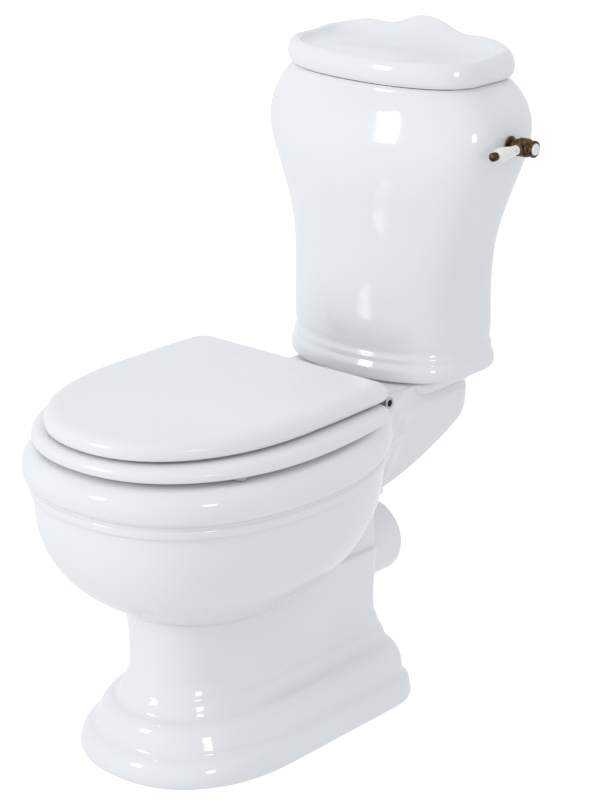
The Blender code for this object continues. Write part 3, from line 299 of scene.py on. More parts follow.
# one look for each finish: two colours, two roughnesses, sizes of the two grains, bump and clear coat
finishLooks = {
    "vitreous_china": {"light": (0.80, 0.815, 0.835), "dark": (0.765, 0.785, 0.81), "rough": (0.07, 0.13),
                       "broadScale": 5.0, "fineScale": 30.0, "bump": 0.05, "bumpDepth": 0.0004,
                       "coat": 0.5, "coatRough": 0.03},
    "seat_enamel": {"light": (0.80, 0.81, 0.825), "dark": (0.785, 0.795, 0.81), "rough": (0.25, 0.28),
                    "broadScale": 7.0, "fineScale": 14.0, "bump": 0.02, "bumpDepth": 0.0001,
                    "coat": 0.15, "coatRough": 0.12},
    "handle_porcelain": {"light": (0.84, 0.84, 0.83), "dark": (0.79, 0.79, 0.775), "rough": (0.06, 0.12),
                         "broadScale": 60.0, "fineScale": 260.0, "bump": 0.06, "bumpDepth": 0.0002,
                         "coat": 0.6},
    "aged_brass": {"light": (0.16, 0.095, 0.04), "dark": (0.045, 0.026, 0.014), "rough": (0.30, 0.50),
                   "metallic": 1.0, "broadScale": 190.0, "fineScale": 900.0, "bump": 0.25,
                   "bumpDepth": 0.0002},
    "plain_brass": {"light": (0.60, 0.42, 0.16), "dark": (0.40, 0.27, 0.10), "rough": (0.25, 0.42),
                    "metallic": 1.0, "broadScale": 120.0, "fineScale": 700.0, "bump": 0.20,
                    "bumpDepth": 0.0002},
    "white_plastic": {"light": (0.76, 0.76, 0.74), "dark": (0.71, 0.71, 0.68), "rough": (0.38, 0.50),
                      "broadScale": 30.0, "fineScale": 600.0, "bump": 0.15, "bumpDepth": 0.0002},
    "clear_plastic": {"light": (0.78, 0.80, 0.80), "dark": (0.70, 0.72, 0.72), "rough": (0.25, 0.38),
                      "broadScale": 80.0, "fineScale": 500.0, "bump": 0.08, "bumpDepth": 0.0002,
                      "clear": 0.5},
    "black_rubber": {"light": (0.035, 0.035, 0.035), "dark": (0.015, 0.015, 0.015), "rough": (0.65, 0.85),
                     "broadScale": 60.0, "fineScale": 800.0, "bump": 0.30, "bumpDepth": 0.0003},
    "stainless_steel": {"light": (0.60, 0.60, 0.61), "dark": (0.46, 0.46, 0.47), "rough": (0.22, 0.40),
                        "metallic": 1.0, "broadScale": 60.0, "fineScale": 400.0, "bump": 0.20,
                        "bumpDepth": 0.0002, "stretch": (1.0, 14.0, 14.0)},
    "float_foam": {"light": (0.82, 0.81, 0.77), "dark": (0.72, 0.71, 0.67), "rough": (0.60, 0.80),
                   "broadScale": 70.0, "fineScale": 420.0, "bump": 0.40, "bumpDepth": 0.0005},
}
finishes = {name: speckledFinish(name, look) for name, look in finishLooks.items()}
print("finishes made")

panSize = {
    "mid": -0.110, "pole": -0.050, "around": 264, "power": 2.3, "rimTop": 0.405, "rimWidest": 1.0225,
    "footHalf": 0.140, "footFront": -0.287, "footRear": 0.142, "footTop": 0.130, "footBlend": 0.008,
    "footCorner": 0.055, "footCornerLoss": 0.021, "columnHalf": 0.0775, "columnFront": -0.228,
    "columnRear": 0.127, "columnTop": 0.168, "columnNarrow": 0.130, "columnSpread": 0.003, "waistDraw": 0.009,
    "bowlHalf": 0.190, "bowlDepth": 0.235, "bowlTail": 0.252, "bowlLeast": 0.02,
    "bellySize": 0.963, "bellyTop": 0.330, "bellyDrop": 0.159, "bellyPower": 2.1,
    "filletLeast": 0.010, "filletGrowth": 0.036, "filletAbove": 0.006,
    "deckBottom": 0.272, "deckHalf": 0.104, "deckDraw": 0.0025, "deckRise": 0.088, "deckFront": -0.200,
    "deckCorner": 0.035, "deckNeck": 0.0055, "deckBlendLeast": 0.002, "deckBlendGrowth": 0.058,
}
# profile of the foot: height, then how far it is drawn in at the sides, front and rear
footCurve = [
    (0.0000, 0.0040, 0.0040, 0.0040), (0.0030, 0.0014, 0.0014, 0.0014), (0.0080, 0.0002, 0.0002, 0.0002),
    (0.0140, 0.0002, 0.0004, 0.0001), (0.0200, 0.0018, 0.0022, 0.0004), (0.0260, 0.0044, 0.0054, 0.0009),
    (0.0300, 0.0074, 0.0092, 0.0018), (0.0328, 0.0112, 0.0132, 0.0030), (0.0350, 0.0150, 0.0170, 0.0040),
    (0.0375, 0.0170, 0.0190, 0.0044), (0.0410, 0.0180, 0.0200, 0.0046), (0.0450, 0.0198, 0.0214, 0.0048),
    (0.0520, 0.0230, 0.0238, 0.0050), (0.0590, 0.0266, 0.0268, 0.0053), (0.0650, 0.0318, 0.0312, 0.0058),
    (0.0690, 0.0384, 0.0366, 0.0063), (0.0715, 0.0440, 0.0412, 0.0068), (0.0740, 0.0468, 0.0434, 0.0070),
    (0.0770, 0.0482, 0.0446, 0.0072), (0.0820, 0.0500, 0.0466, 0.0078), (0.0865, 0.0520, 0.0486, 0.0090),
    (0.0900, 0.0548, 0.0510, 0.0106), (0.0925, 0.0566, 0.0528, 0.0114), (0.0960, 0.0578, 0.0542, 0.0120),
    (0.1000, 0.0598, 0.0566, 0.0130), (0.1040, 0.0622, 0.0596, 0.0144), (0.1080, 0.0650, 0.0640, 0.0175),
    (0.1130, 0.0690, 0.0700, 0.0230), (0.1200, 0.0770, 0.0790, 0.0330), (0.1300, 0.0920, 0.0960, 0.0500),
]
# rim and its mouldings: height and size against the bowl's reference size
rimCurve = [(0.3400, 0.9630), (0.3440, 0.9632), (0.3452, 0.9700), (0.3466, 0.9820), (0.3490, 0.9865),
            (0.3545, 0.9870), (0.3566, 0.9835), (0.3578, 0.9770), (0.3594, 0.9755), (0.3615, 0.9850),
            (0.3650, 1.0030), (0.3710, 1.0185), (0.3790, 1.0225), (0.3880, 1.0150), (0.3960, 0.9960),
            (0.4015, 0.9730), (0.4045, 0.9480), (0.4050, 0.9300)]
# underside of the deck: height and how far back it reaches
deckCurve = [(0.272, 0.060), (0.280, 0.106), (0.288, 0.150), (0.300, 0.194), (0.315, 0.228),
             (0.332, 0.262), (0.342, 0.278), (0.356, 0.284), (0.375, 0.286), (0.405, 0.287)]


def easedTable(table, steps=12):
    # a smooth curve through a short table, as two plain arrays
    fine = easeRings(np.array(table, float)[:, None, :], steps)[:, 0]
    return fine[:, 0], fine[:, 1]


def footDraw(z):
    # the foot's eased profile read at each height
    fine = easeRings(np.array(footCurve)[:, None, :], 8)[:, 0]
    return [np.interp(z, fine[:, 0], fine[:, column]) for column in (1, 2, 3)]


def deckHalfAt(z):
    # the deck's side is a quarter ellipse in section from the column out to its full width, then it
    # draws in a little under the pad
    s = panSize
    rounded = np.sqrt(1 - (1 - climb(z, s["deckBottom"], s["deckRise"])) ** 2)
    neck = s["deckNeck"] * climb(z, 0.378, 0.010)
    return s["columnHalf"] + (s["deckHalf"] - s["deckDraw"] - s["columnHalf"]) * rounded - neck


def bowlSizeAt(z):
    # the bowl's size against the reference size: a superellipse down the belly, the rim's curve above it
    s = panSize
    drop = np.clip((s["bellyTop"] - z) / s["bellyDrop"], 0, 1)
    belly = s["bellySize"] * (1 - drop ** s["bellyPower"]) ** (1 / s["bellyPower"])
    rim = np.interp(z, *easedTable(rimCurve))
    return np.minimum(np.where(z > rimCurve[0][0], rim, np.maximum(belly, s["bowlLeast"])), s["rimWidest"])


def panRearAt(z):
    # the farther back of the column, drawn in by a parabola above the outlet, and the deck's underside
    waist = panSize["columnRear"] - panSize["waistDraw"] * climb(z, 0.225, 0.045) ** 2
    return np.maximum(np.interp(z, *easedTable(deckCurve)), waist)


def panHeights():
    # heights of the rings: even in the foot and the rim, and spaced by a cosine where the belly closes
    s = panSize
    bellyTurn = np.linspace(0.02, math.pi / 2, 56)
    belly = s["bellyTop"] - s["bellyDrop"] * np.cos(bellyTurn) ** (2 / s["bellyPower"])
    return np.unique(np.concatenate([
        np.linspace(0, 0.103, 70), np.linspace(0.105, 0.172, 14), belly,
        np.linspace(0.270, 0.340, 40), np.linspace(0.343, s["rimTop"], 74)]).round(5))


def panOuterRings():
    # foot, column, bowl and deck as four plans, joined smoothly at every height
    s = panSize
    heights = panHeights()
    col = lambda value: columnOf(value, len(heights))
    z, size, reach, deckHalf = (col(value) for value in (heights, bowlSizeAt(heights), panRearAt(heights),
                                                         deckHalfAt(heights)))
    sides, front, rear = (col(draw) for draw in footDraw(heights))
    spread = np.where(z < 0.2, s["columnSpread"] * (2 * (z - s["columnNarrow"]) / 0.1) ** 2, 0)
    footCorner = s["footCorner"] - s["footCornerLoss"] * climb(z, 0.020, 0.030)
    deckBlend = s["deckBlendLeast"] + s["deckBlendGrowth"] * climb(z, s["deckBottom"], 0.070)

    def fieldOf(x, y):
        # the fillet under the belly widens towards the back, and closes again where the deck begins
        foot = planField(x, y, s["footHalf"] - sides, s["footFront"] + front, s["footRear"] - rear,
                         s["mid"], power=s["power"], corner=footCorner)
        column = planField(x, y, s["columnHalf"] + spread, s["columnFront"] - spread, reach, s["mid"],
                           power=s["power"])
        bowl = planField(x, y, s["bowlHalf"] * size, s["mid"] - s["bowlDepth"] * size, reach, s["mid"],
                         tail=s["mid"] + s["bowlTail"] * size)
        deck = planField(x, y, deckHalf, s["deckFront"], reach, s["mid"], corner=s["deckCorner"])
        fillet = s["filletLeast"] + s["filletGrowth"] * climb(y, -0.170, 0.110) * climb(z, 0.170, 0.060)
        under = s["filletAbove"] + (fillet - s["filletAbove"]) * np.clip((0.312 - z) / 0.040, 0, 1)
        low = np.where(z <= s["footTop"], smoothMin(foot, column, s["footBlend"]), column)
        middle = np.where(z > s["columnTop"], smoothMin(column, bowl, fillet), low)
        upper = smoothMin(smoothMin(bowl, deck, deckBlend), column, under)
        return np.where(z > s["deckBottom"], upper, middle)

    return traceRings(heights, fieldOf, s["around"], s["pole"])


# inside of the pan from the rim's top down: height, half width, front, back
insideCurve = [
    (0.4060, 0.160, -0.313, 0.012), (0.4050, 0.148, -0.300, 0.001), (0.4010, 0.1415, -0.2935, -0.004),
    (0.3830, 0.1396, -0.2916, -0.005), (0.3640, 0.1395, -0.2915, -0.0055), (0.3600, 0.1430, -0.2950, -0.0060),
    (0.3585, 0.1500, -0.303, -0.007), (0.340, 0.158, -0.311, -0.013), (0.300, 0.161, -0.314, -0.022),
    (0.255, 0.148, -0.294, -0.031), (0.215, 0.116, -0.254, -0.038), (0.180, 0.074, -0.207, -0.043),
    (0.152, 0.046, -0.173, -0.048), (0.137, 0.033, -0.156, -0.053), (0.1335, 0.020, -0.140, -0.068),
    (0.1330, 0.004, -0.112, -0.098),
]
pastTail = 0.05  # the square rear of an oval plan is kept this far behind its tail


def panInnerRings():
    # rim's top, its skirt, the ledge below it, the bowl and the sump, as ovals about their own middles
    table = np.array(insideCurve)
    centre = (table[:, 2] + table[:, 3]) / 2
    mid = np.minimum(panSize["mid"], centre + 0.01)
    rings = planRings([(z, half, front, back + pastTail, back, m)
                       for (z, half, front, back), m in zip(insideCurve, mid)], panSize["around"], centre,
                      columns=("z", "half", "front", "rear", "tail", "mid"), power=2.2, tailPower=2.2)
    return easeRings(rings, 6)


def pocketRings(front, back, frontHigh, backHigh, half, halfHigh, height):
    # hollow under the foot: rounded oblongs that draw in evenly from the floor to the ceiling
    share = np.array([0, 0, 0.45, 1.0])
    z = np.array([-0.01, 0.001, 0.045, height])
    ends = [front + (frontHigh - front) * share, back + (backHigh - back) * share]
    mid = (ends[0] + ends[1]) / 2
    rows = list(zip(z, half + (halfHigh - half) * share, ends[0], ends[1] + pastTail, ends[1], mid))
    return planRings(rows, 64, mid, columns=("z", "half", "front", "rear", "tail", "mid"),
                     power=3.4, tailPower=3.4)


def sweptRings(path, radius, count, steps=6):
    # a circle carried along a smooth path in the plane x = 0: centre + radius * (across, upward)
    path = easeRings(np.array(path, float)[:, None, :], steps)[:, 0]
    heading = np.gradient(path, axis=0)
    heading /= np.linalg.norm(heading, axis=1)[:, None]
    across = np.array([1.0, 0, 0])
    upward = np.cross(heading, across)
    angle = np.arange(count) / count * math.tau
    offset = np.cos(angle)[None, :, None] * across + np.sin(angle)[None, :, None] * upward[:, None, :]
    return path[:, None, :] + radius * offset


def drillRings(x, y, low, high, radius):
    # an upright drill: one circle at low and the same at high
    return lieAlong(turnedRings([(radius, low), (radius, high)], 48, smooth=False), (0, 0, 1), (x, y, 0))


outlet = {"z": 0.168, "around": 120, "boreAround": 96, "trapRadius": 0.027, "trapAround": 48}
# radius and distance back of the outlet's spigot, and of its bore
spigotCurve = [(0.046, 0.080), (0.0490, 0.112), (0.0500, 0.125), (0.0500, 0.190), (0.0499, 0.1985),
               (0.0490, 0.2022), (0.0475, 0.2030)]
boreCurve = [(0.025, 0.095), (0.0425, 0.135), (0.0425, 0.230)]
# middle line of the trap, from the sump up over the weir and down to the spigot's bore
trapRoute = [(0, -0.100, 0.161), (0, -0.068, 0.161), (0, -0.034, 0.174), (0, -0.013, 0.208),
             (0, 0.002, 0.243), (0, 0.028, 0.262), (0, 0.053, 0.244), (0, 0.062, 0.210),
             (0, 0.078, 0.181), (0, 0.105, 0.168), (0, 0.140, 0.168)]
# raised pad under the cistern: height, half width, front, rear
padCurve = [(0.388, 0.100, 0.154, 0.286), (0.392, 0.104, 0.150, 0.290), (0.398, 0.107, 0.147, 0.293),
            (0.403, 0.107, 0.147, 0.293), (0.4055, 0.1045, 0.1500, 0.290), (0.4062, 0.100, 0.154, 0.286)]
pad = {"mid": 0.20, "pole": 0.21, "around": 160, "power": 3.0}
# hollows under the foot: front and back at the floor, the same at the ceiling, half widths, height
pockets = [(-0.266, -0.013, -0.200, -0.013, 0.122, 0.060, 0.108),
           (0.013, 0.126, 0.013, 0.102, 0.116, 0.058, 0.104)]
# upright holes through the deck: place from the middle and from the front, low, high, radius
flushHole = (0, 0.216, 0.392, 0.43, 0.048)
pairedHoles = [(0.064, 0.246, 0.30, 0.366, 0.019), (0.064, 0.246, 0.3662, 0.43, 0.0055),
               (0.0775, 0.060, 0.372, 0.43, 0.0068)]


def makePan():
    # the outside and the inside are one skin; the spigot and the pad are joined on, then the holes cut
    backwards, outletLine = (0, 1, 0), (0, 0, outlet["z"])
    mesh = loftedMesh("pan_body", np.concatenate([panOuterRings(), panInnerRings()]))
    spigot = lieAlong(turnedRings(spigotCurve, outlet["around"]), backwards, outletLine)
    padRings = planRings([row + (pad["mid"],) for row in padCurve], pad["around"], pad["pole"],
                         columns=("z", "half", "front", "rear", "mid"), power=pad["power"])
    mesh = carve(mesh, mergedMesh("additions", [spigot, easeRings(padRings, 4)]), "UNION")
    bore = turnedRings(boreCurve, outlet["boreAround"], smooth=False)
    hollows = [lieAlong(bore, backwards, outletLine), *(pocketRings(*pocket) for pocket in pockets),
               drillRings(*flushHole)]
    for side in (-1, 1):
        hollows += [drillRings(side * x, *rest) for x, *rest in pairedHoles]
    mesh = carve(mesh, mergedMesh("hollows", hollows), "DIFFERENCE")
    trapWay = sweptRings(trapRoute, outlet["trapRadius"], outlet["trapAround"])
    mesh = carve(mesh, mergedMesh("trapWay", [trapWay]), "DIFFERENCE")
    return addPiece("pan_ceramic", mesh, "vitreous_china", "toilet",
                    ["pan", "pan_foot", "pan_outlet", "pan_rim"])


makePan()
print("pan made")

cisternSize = {"mid": 0.223, "rear": 0.310, "flareFrom": 0.130, "flareShare": 0.14, "wall": 0.0095,
               "power": 2.15, "around": 256, "floor": 0.4205, "wallRows": 13}
# height, half width, depth in front of the middle, blend of the rear corners
cisternCurve = [
    (0.4085, 0.1300, 0.0850, 0.055), (0.4092, 0.1325, 0.0872, 0.055), (0.4120, 0.1350, 0.0890, 0.055),
    (0.4175, 0.1361, 0.0898, 0.055), (0.4245, 0.1350, 0.0890, 0.055), (0.4305, 0.1322, 0.0866, 0.055),
    (0.4325, 0.1314, 0.0858, 0.055), (0.4340, 0.1313, 0.0857, 0.055), (0.4385, 0.1308, 0.0855, 0.055),
    (0.4425, 0.1290, 0.0836, 0.055), (0.4450, 0.1283, 0.0829, 0.055), (0.4560, 0.1290, 0.0850, 0.055),
    (0.5000, 0.1285, 0.0858, 0.055), (0.5350, 0.1294, 0.0840, 0.055), (0.5650, 0.1326, 0.0815, 0.055),
    (0.5900, 0.1385, 0.0795, 0.055), (0.6230, 0.1507, 0.0802, 0.055), (0.6560, 0.1650, 0.0842, 0.055),
    (0.6880, 0.1790, 0.0863, 0.055), (0.7080, 0.1848, 0.0846, 0.054), (0.7240, 0.1848, 0.0811, 0.050),
    (0.7400, 0.1800, 0.0770, 0.044), (0.7540, 0.1722, 0.0738, 0.040), (0.7680, 0.1614, 0.0720, 0.040),
    (0.7800, 0.1475, 0.0708, 0.044), (0.7830, 0.1420, 0.0690, 0.044),
]
# the inside where it doesn't follow the outside: its mouth, then its straight lower part to the floor
mouthRow = (0.7830, 0.1412, 0.0682, 0.044)
lowerRows = [(0.500, 0.1285, 0.0858, 0.055), (0.440, 0.1290, 0.0855, 0.055),
             (cisternSize["floor"] + 0.006, 0.1285, 0.0840, 0.055),
             (cisternSize["floor"], 0.1240, 0.0795, 0.055)]
heartRow = (cisternSize["floor"], 0.030, 0.020, 0.03, 0.06)
# the cover: height, half width, depth, draw of its back, share of the crest
coverCurve = [(0.7966, 0.0100, 0.0050, 0.0800, 0), (0.7966, 0.1170, 0.0450, 0.0250, 0),
              (0.7955, 0.1210, 0.0480, 0.0225, 0), (0.7760, 0.1225, 0.0500, 0.0210, 0),
              (0.7742, 0.1240, 0.0515, 0.0190, 0), (0.7742, 0.1290, 0.0560, 0.0145, 0),
              (0.7760, 0.1308, 0.0575, 0.0128, 0), (0.7838, 0.1310, 0.0578, 0.0126, 0),
              (0.7838, 0.1400, 0.0670, 0.0030, 0), (0.7846, 0.1445, 0.0706, 0.0012, 0),
              (0.7890, 0.1488, 0.0742, 0.0000, 0), (0.7960, 0.1508, 0.0758, 0.0000, 0),
              (0.8030, 0.1502, 0.0752, 0.0000, 0.30), (0.8095, 0.1480, 0.0735, 0.0008, 0.78),
              (0.8140, 0.1440, 0.0705, 0.0034, 0.97), (0.8155, 0.1395, 0.0670, 0.0070, 1.00),
              (0.8147, 0.1360, 0.0642, 0.0104, 0.95), (0.8138, 0.1345, 0.0630, 0.0120, 0.90),
              (0.8134, 0.1330, 0.0620, 0.0136, 0.86), (0.8112, 0.1305, 0.0600, 0.0172, 0.68),
              (0.8078, 0.1245, 0.0550, 0.0260, 0.24), (0.8062, 0.1120, 0.0450, 0.0400, 0.02),
              (0.8052, 0.0600, 0.0220, 0.0620, 0), (0.8050, 0.0040, 0.0020, 0.0850, 0)]


def cisternRings(rows, draw=0.0):
    # D plans flat to the wall, widest there and bowed to the front, all drawn in by the same amount
    s = cisternSize
    z, half, depth, corner, back = np.array(rows, float).T
    flare = s["flareShare"] * np.maximum(half - s["flareFrom"], 0)
    col = lambda value: columnOf(value, len(z))
    return traceRings(z, lambda x, y: planField(
        x, y, col(half - flare - draw), col(s["mid"] - depth + draw), col(s["rear"] - draw - back), s["mid"],
        power=s["power"], corner=col(corner), flare=col(flare)), s["around"], s["mid"])


def makeCistern():
    # up the outside, over the mouth, down the inside one wall's thickness in, and across the floor
    s = cisternSize
    flush = lambda rows: [row + (0,) for row in rows]  # no draw at the back
    outer = cisternRings(flush(cisternCurve))
    inner = cisternRings(flush([mouthRow] + cisternCurve[-2:s["wallRows"]:-1] + lowerRows), s["wall"])
    rings = np.concatenate([easeRings(outer, 6), easeRings(inner, 4), cisternRings([heartRow])])
    rings[..., 1] = np.minimum(rings[..., 1], s["rear"])
    return addPiece("cistern_ceramic", loftedMesh("cistern_body", rings), "vitreous_china", "toilet",
                    ["cistern"])


coverSize = {"corner": 0.042, "crestFrom": 0.062, "crestRun": 0.034, "peak": 0.0260, "peakWidth": 0.047,
             "peakPower": 2.4, "shoulder": 0.0109, "shoulderAt": 0.090, "shoulderWidth": 0.042}


def crestHeight(x):
    # one broad bell-shaped peak in the middle and a lower bell each side
    s = coverSize
    peak = s["peak"] * np.exp(-(np.abs(x) / s["peakWidth"]) ** s["peakPower"])
    return peak + s["shoulder"] * np.exp(-((np.abs(x) - s["shoulderAt"]) / s["shoulderWidth"]) ** 2)


def makeCover():
    # rings out across the underside, round the edge and in over the tray; towards the back each rises by
    # its share of the crest, with a smooth step
    s = coverSize
    rows = np.array(coverCurve, float)
    rings = cisternRings([(z, half, depth, s["corner"], back) for z, half, depth, back, _ in rows])
    share = climb(rings[..., 1] + rows[:, 3:4] - cisternSize["rear"], -s["crestFrom"], s["crestRun"])
    rings[..., 2] += rows[:, 4:5] * share * share * (3 - 2 * share) * crestHeight(rings[..., 0])
    return addPiece("cistern_cover", loftedMesh("cover_body", easeRings(rings, 6)), "vitreous_china",
                    "cistern_lid", ["cistern_lid"])


makeCistern()
makeCover()
print("cistern and cover made")

seatPlan = {"mid": -0.110, "pole": -0.05, "power": 2.19, "around": 256}  # shared by the seat and the lid
seatSize = {"half": 0.1835, "front": -0.340, "rear": 0.038, "tail": 0.240, "corner": 0.02,
            "bottom": 0.4120, "top": 0.4300, "holeHalf": 0.111, "holeFront": -0.262, "holeTail": -0.030,
            "holeRear": 0.05, "holeMid": -0.125, "holePower": 2.2, "holeTailPower": 2.5, "holeCorner": 0.03}
lidSize = {"half": 0.1605, "front": -0.331, "rear": 0.046, "tail": 0.60, "corner": 0.022,
           "bottom": 0.4332, "top": 0.4550}


def drawnRings(size, rows):
    # the outline at each height, drawn in by the same amount all round
    table = [(z, size["half"] - d, size["front"] + d, size["rear"] - d) for z, d in rows]
    return planRings(table, seatPlan["around"], seatPlan["pole"], columns=("z", "half", "front", "rear"),
                     mid=seatPlan["mid"], power=seatPlan["power"], tail=size["tail"], corner=size["corner"])


def makeSeat():
    # rows of (height, draw): up the outer edge, then down the opening's, as one closed hoop
    s = seatSize
    low, high = s["bottom"], s["top"]
    outerRows = [(low, 0.0050), (low + 0.0002, 0.0034), (low + 0.0014, 0.0012), (low + 0.0040, 0.0002),
                 (low + 0.0090, 0.0001), (high - 0.0062, 0.0014), (high - 0.0030, 0.0042),
                 (high - 0.0010, 0.0086), (high - 0.0001, 0.0150), (high, 0.0240)]
    holeRows = [(high, 0.0190), (high - 0.0003, 0.0110), (high - 0.0022, 0.0052), (high - 0.0060, 0.0014),
                (high - 0.0110, 0.0000), (low + 0.0016, 0.0008), (low, 0.0030)]
    hole = planRings([(z, s["holeHalf"] + g, s["holeFront"] - g, s["holeTail"] + g) for z, g in holeRows],
                     seatPlan["around"], seatPlan["pole"], columns=("z", "half", "front", "tail"),
                     rear=s["holeRear"], mid=s["holeMid"], power=s["holePower"],
                     tailPower=s["holeTailPower"], corner=s["holeCorner"])
    rings = np.concatenate([drawnRings(s, outerRows), hole])
    return addPiece("seat_ring", hoopMesh("seat_ring", easeRings(rings, 4, closed=True)), "seat_enamel",
                    "seat", ["seat"])


def makeLid():
    # rows of (height, draw) from the middle of the underside round the edge to the middle of the top
    s = lidSize
    low, high = s["bottom"], s["top"]
    rows = [(low, 0.1500), (low, 0.0080), (low + 0.0002, 0.0040), (low + 0.0014, 0.0014),
            (low + 0.0040, 0.0003), (low + 0.0100, 0.0002), (high - 0.0080, 0.0012),
            (high - 0.0042, 0.0040), (high - 0.0016, 0.0085), (high - 0.0003, 0.0140), (high, 0.0200),
            (high, 0.0300), (high, 0.1500)]
    return addPiece("seat_cover", loftedMesh("seat_cover", easeRings(drawnRings(s, rows), 5)),
                    "seat_enamel", "lid", ["seat_lid"])


makeSeat()
makeLid()
print("seat and lid made")

leverSize = {"x": 0.2005, "y": 0.2405, "z": 0.7150, "face": 0.1788, "around": 96, "steps": 4}


def leverPiece(name, profile, axis, start, slotName, body, replaced):
    # a profile of (radius, distance along its line) turned about that line
    rings = lieAlong(turnedRings(profile, leverSize["around"], leverSize["steps"]), axis, start)
    return addPiece(name, loftedMesh(name, rings), slotName, body, replaced)


def makeLever():
    # the rose, boss and cap stand on the spindle's line; the neck, grip and knob on the handle's
    s = leverSize
    outwards, spindle = (1, 0, 0), (0, s["y"], s["z"])
    forwards, grip = (0, -1, 0), (s["x"], s["y"], s["z"])
    f, x = s["face"], s["x"]
    leverPiece("lever_rose", [
        (0.0050, f - 0.019), (0.0078, f - 0.019), (0.0078, f - 0.0002), (0.0102, f), (0.0111, f + 0.0008),
        (0.0111, f + 0.0014), (0.0104, f + 0.0020), (0.0090, f + 0.0025), (0.0050, f + 0.0026),
    ], outwards, spindle, "aged_brass", "toilet", ["lever_bush"])
    leverPiece("lever_boss", [
        (0.0044, x - 0.0121), (0.0076, x - 0.0121), (0.0092, x - 0.0114), (0.0093, x - 0.0108),
        (0.0084, x - 0.0100), (0.0083, x - 0.0092), (0.0108, x - 0.0074), (0.0115, x - 0.0050),
        (0.0116, x), (0.0115, x + 0.0050), (0.0108, x + 0.0074), (0.0090, x + 0.0092),
        (0.0088, x + 0.0108), (0.0104, x + 0.0122), (0.0106, x + 0.0140), (0.0104, x + 0.0156),
        (0.0090, x + 0.0161), (0.0079, x + 0.0158), (0.0077, x + 0.0135), (0.0020, x + 0.0132),
    ], outwards, spindle, "aged_brass", "flush_lever", ["lever_hub"])
    leverPiece("lever_neck", [
        (0.0060, 0.0080), (0.0066, 0.0100), (0.0066, 0.0130), (0.0079, 0.0137), (0.0080, 0.0150),
        (0.0076, 0.0160), (0.0030, 0.0163),
    ], forwards, grip, "aged_brass", "flush_lever", ["lever_hub"])
    leverPiece("lever_cap", [
        (0.0070, x + 0.0134), (0.0074, x + 0.0142), (0.0074, x + 0.0164), (0.0062, x + 0.0180),
        (0.0034, x + 0.0188), (0.0006, x + 0.0190),
    ], outwards, spindle, "handle_porcelain", "flush_lever", ["lever_end_cap"])
    leverPiece("lever_grip", [
        (0.0022, 0.0134), (0.0024, 0.0166), (0.0054, 0.0166), (0.0060, 0.0176), (0.0060, 0.0210),
        (0.0068, 0.0300), (0.0082, 0.0400), (0.0090, 0.0470), (0.0086, 0.0530), (0.0066, 0.0570),
        (0.0040, 0.0581),
    ], forwards, grip, "handle_porcelain", "flush_lever", ["lever_handle"])
    leverPiece("lever_knob", [
        (0.0016, 0.0540), (0.0016, 0.0584), (0.0048, 0.0584), (0.0053, 0.0591), (0.0050, 0.0600),
        (0.0038, 0.0608), (0.0050, 0.0620), (0.0056, 0.0638), (0.0052, 0.0656), (0.0038, 0.0672),
        (0.0008, 0.0680),
    ], forwards, grip, "aged_brass", "flush_lever", ["lever_finial"])


makeLever()
print("lever made")


def finishFrameNodes():
    # every part that shows its own shape takes the finish its record names
    slotOf = {part["node"]: part["material_slot"] for part in frame["record"]["subparts"]}
    for name, node in frame["nodes"].items():
        for materialSlot in node.material_slots:
            materialSlot.material = finishes[slotOf[name]]


finishFrameNodes()
print("remaining parts finished")

studio = {"centre": (0, 0, 0.45), "floor": (0.45, 0.45, 0.45), "floorRough": 0.7, "floorReach": 14.0,
          "floorGlow": 0.80, "world": (0.97, 0.985, 1.0), "worldPower": (0.95, 0.77),
          "fadeAcross": (-0.6, 1.0)}
# each soft lamp: bearing from the front, rise above the horizon, distance, size and power
lamps = [
    {"name": "keyLeft", "bearing": -22, "rise": 20, "far": 3.4, "size": (0.62, 0.85), "power": 24},
    {"name": "keyRight", "bearing": 64, "rise": 15, "far": 3.4, "size": (0.50, 0.65), "power": 10},
    {"name": "overhead", "bearing": 20, "rise": 72, "far": 3.0, "size": (2.4, 2.4), "power": 0.5},
]
cameraView = {"azimuth": 40.718, "elevation": 19.461, "distance": 3.2149, "lens": 117.03, "sensor": 36,
              "aim": (0.0214, 0.0220, 0.4070)}


def outward(bearing, rise):
    # unit vector towards a bearing (0 is the front, 90 the lever's side) and a rise above the horizon
    turn, lift = math.radians(bearing), math.radians(rise)
    return Vector((math.sin(turn) * math.cos(lift), -math.cos(turn) * math.cos(lift), math.sin(lift)))


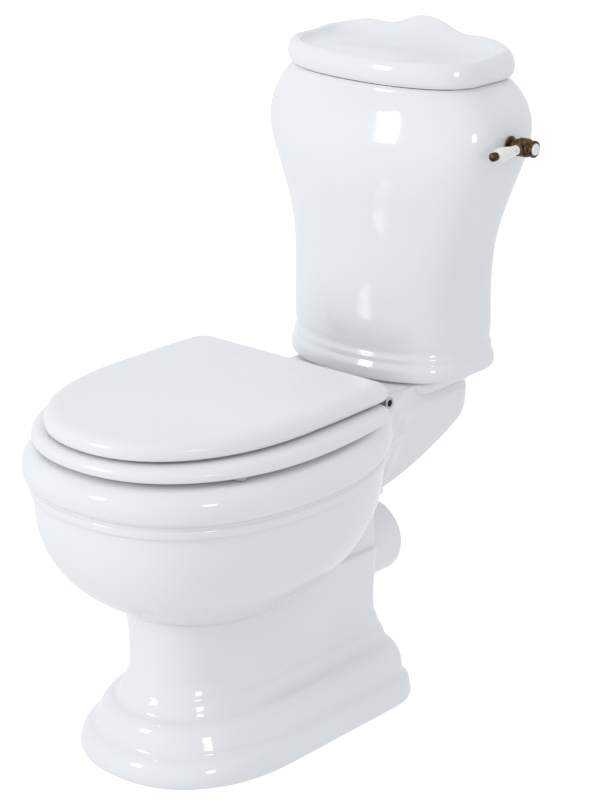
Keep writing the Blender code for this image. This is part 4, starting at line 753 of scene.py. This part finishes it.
def makeFloor():
    # one wide square that glows a little; it lights nothing, so the object is as even below as above
    reach = studio["floorReach"]
    mesh = bpy.data.meshes.new("floor")
    mesh.from_pydata([(-reach, -reach, 0), (reach, -reach, 0), (reach, reach, 0), (-reach, reach, 0)], [],
                     [(0, 1, 2, 3)])
    floor = bpy.data.objects.new("floor", mesh)
    bpy.context.scene.collection.objects.link(floor)
    finish, _, shader = newFinish("studio_floor", studio["floor"], studio["floorRough"])
    shader.inputs["Emission Color"].default_value = (1, 1, 1, 1)
    shader.inputs["Emission Strength"].default_value = studio["floorGlow"]
    mesh.materials.append(finish)
    floor.visible_diffuse = floor.visible_glossy = False


def makeWorld():
    # a soft white surround that fades in a straight line towards the lever's side
    world = bpy.data.worlds.new("studio")
    bpy.context.scene.world = world
    world.use_nodes = True
    tree = world.node_tree
    background = tree.nodes["Background"]
    background.inputs["Color"].default_value = (*studio["world"], 1)
    place = tree.nodes.new("ShaderNodeTexCoord")
    apart = tree.nodes.new("ShaderNodeSeparateXYZ")
    fade = tree.nodes.new("ShaderNodeMapRange")
    fade.inputs["From Min"].default_value, fade.inputs["From Max"].default_value = studio["fadeAcross"]
    fade.inputs["To Min"].default_value, fade.inputs["To Max"].default_value = studio["worldPower"]
    tree.links.new(place.outputs["Generated"], apart.inputs["Vector"])
    tree.links.new(apart.outputs["X"], fade.inputs["Value"])
    tree.links.new(fade.outputs["Result"], background.inputs["Strength"])


def makeLamps():
    # each stands on its own line out from the studio's centre and faces back along it
    for lamp in lamps:
        light = bpy.data.lights.new(lamp["name"], "AREA")
        light.shape = "RECTANGLE"
        light.size, light.size_y = lamp["size"]
        light.energy = lamp["power"]
        item = bpy.data.objects.new(lamp["name"], light)
        away = outward(lamp["bearing"], lamp["rise"])
        item.location = Vector(studio["centre"]) + away * lamp["far"]
        item.rotation_euler = away.to_track_quat("Z", "Y").to_euler()
        bpy.context.scene.collection.objects.link(item)


def makeCamera():
    # stands outward from its aim, level from side to side
    v = cameraView
    back = outward(v["azimuth"], v["elevation"])
    right = Vector((0, 0, 1)).cross(back).normalized()
    data = bpy.data.cameras.new("camera")
    data.sensor_width = v["sensor"]
    data.lens = v["lens"]
    camera = bpy.data.objects.new("camera", data)
    place = Matrix((right, back.cross(right), back)).transposed().to_4x4()
    place.translation = Vector(v["aim"]) + back * v["distance"]
    camera.matrix_world = place
    bpy.context.scene.collection.objects.link(camera)
    bpy.context.scene.camera = camera


bpy.context.scene.view_settings.view_transform = "Standard"
makeFloor()
makeWorld()
makeLamps()
makeCamera()
print("stage, light and camera set")
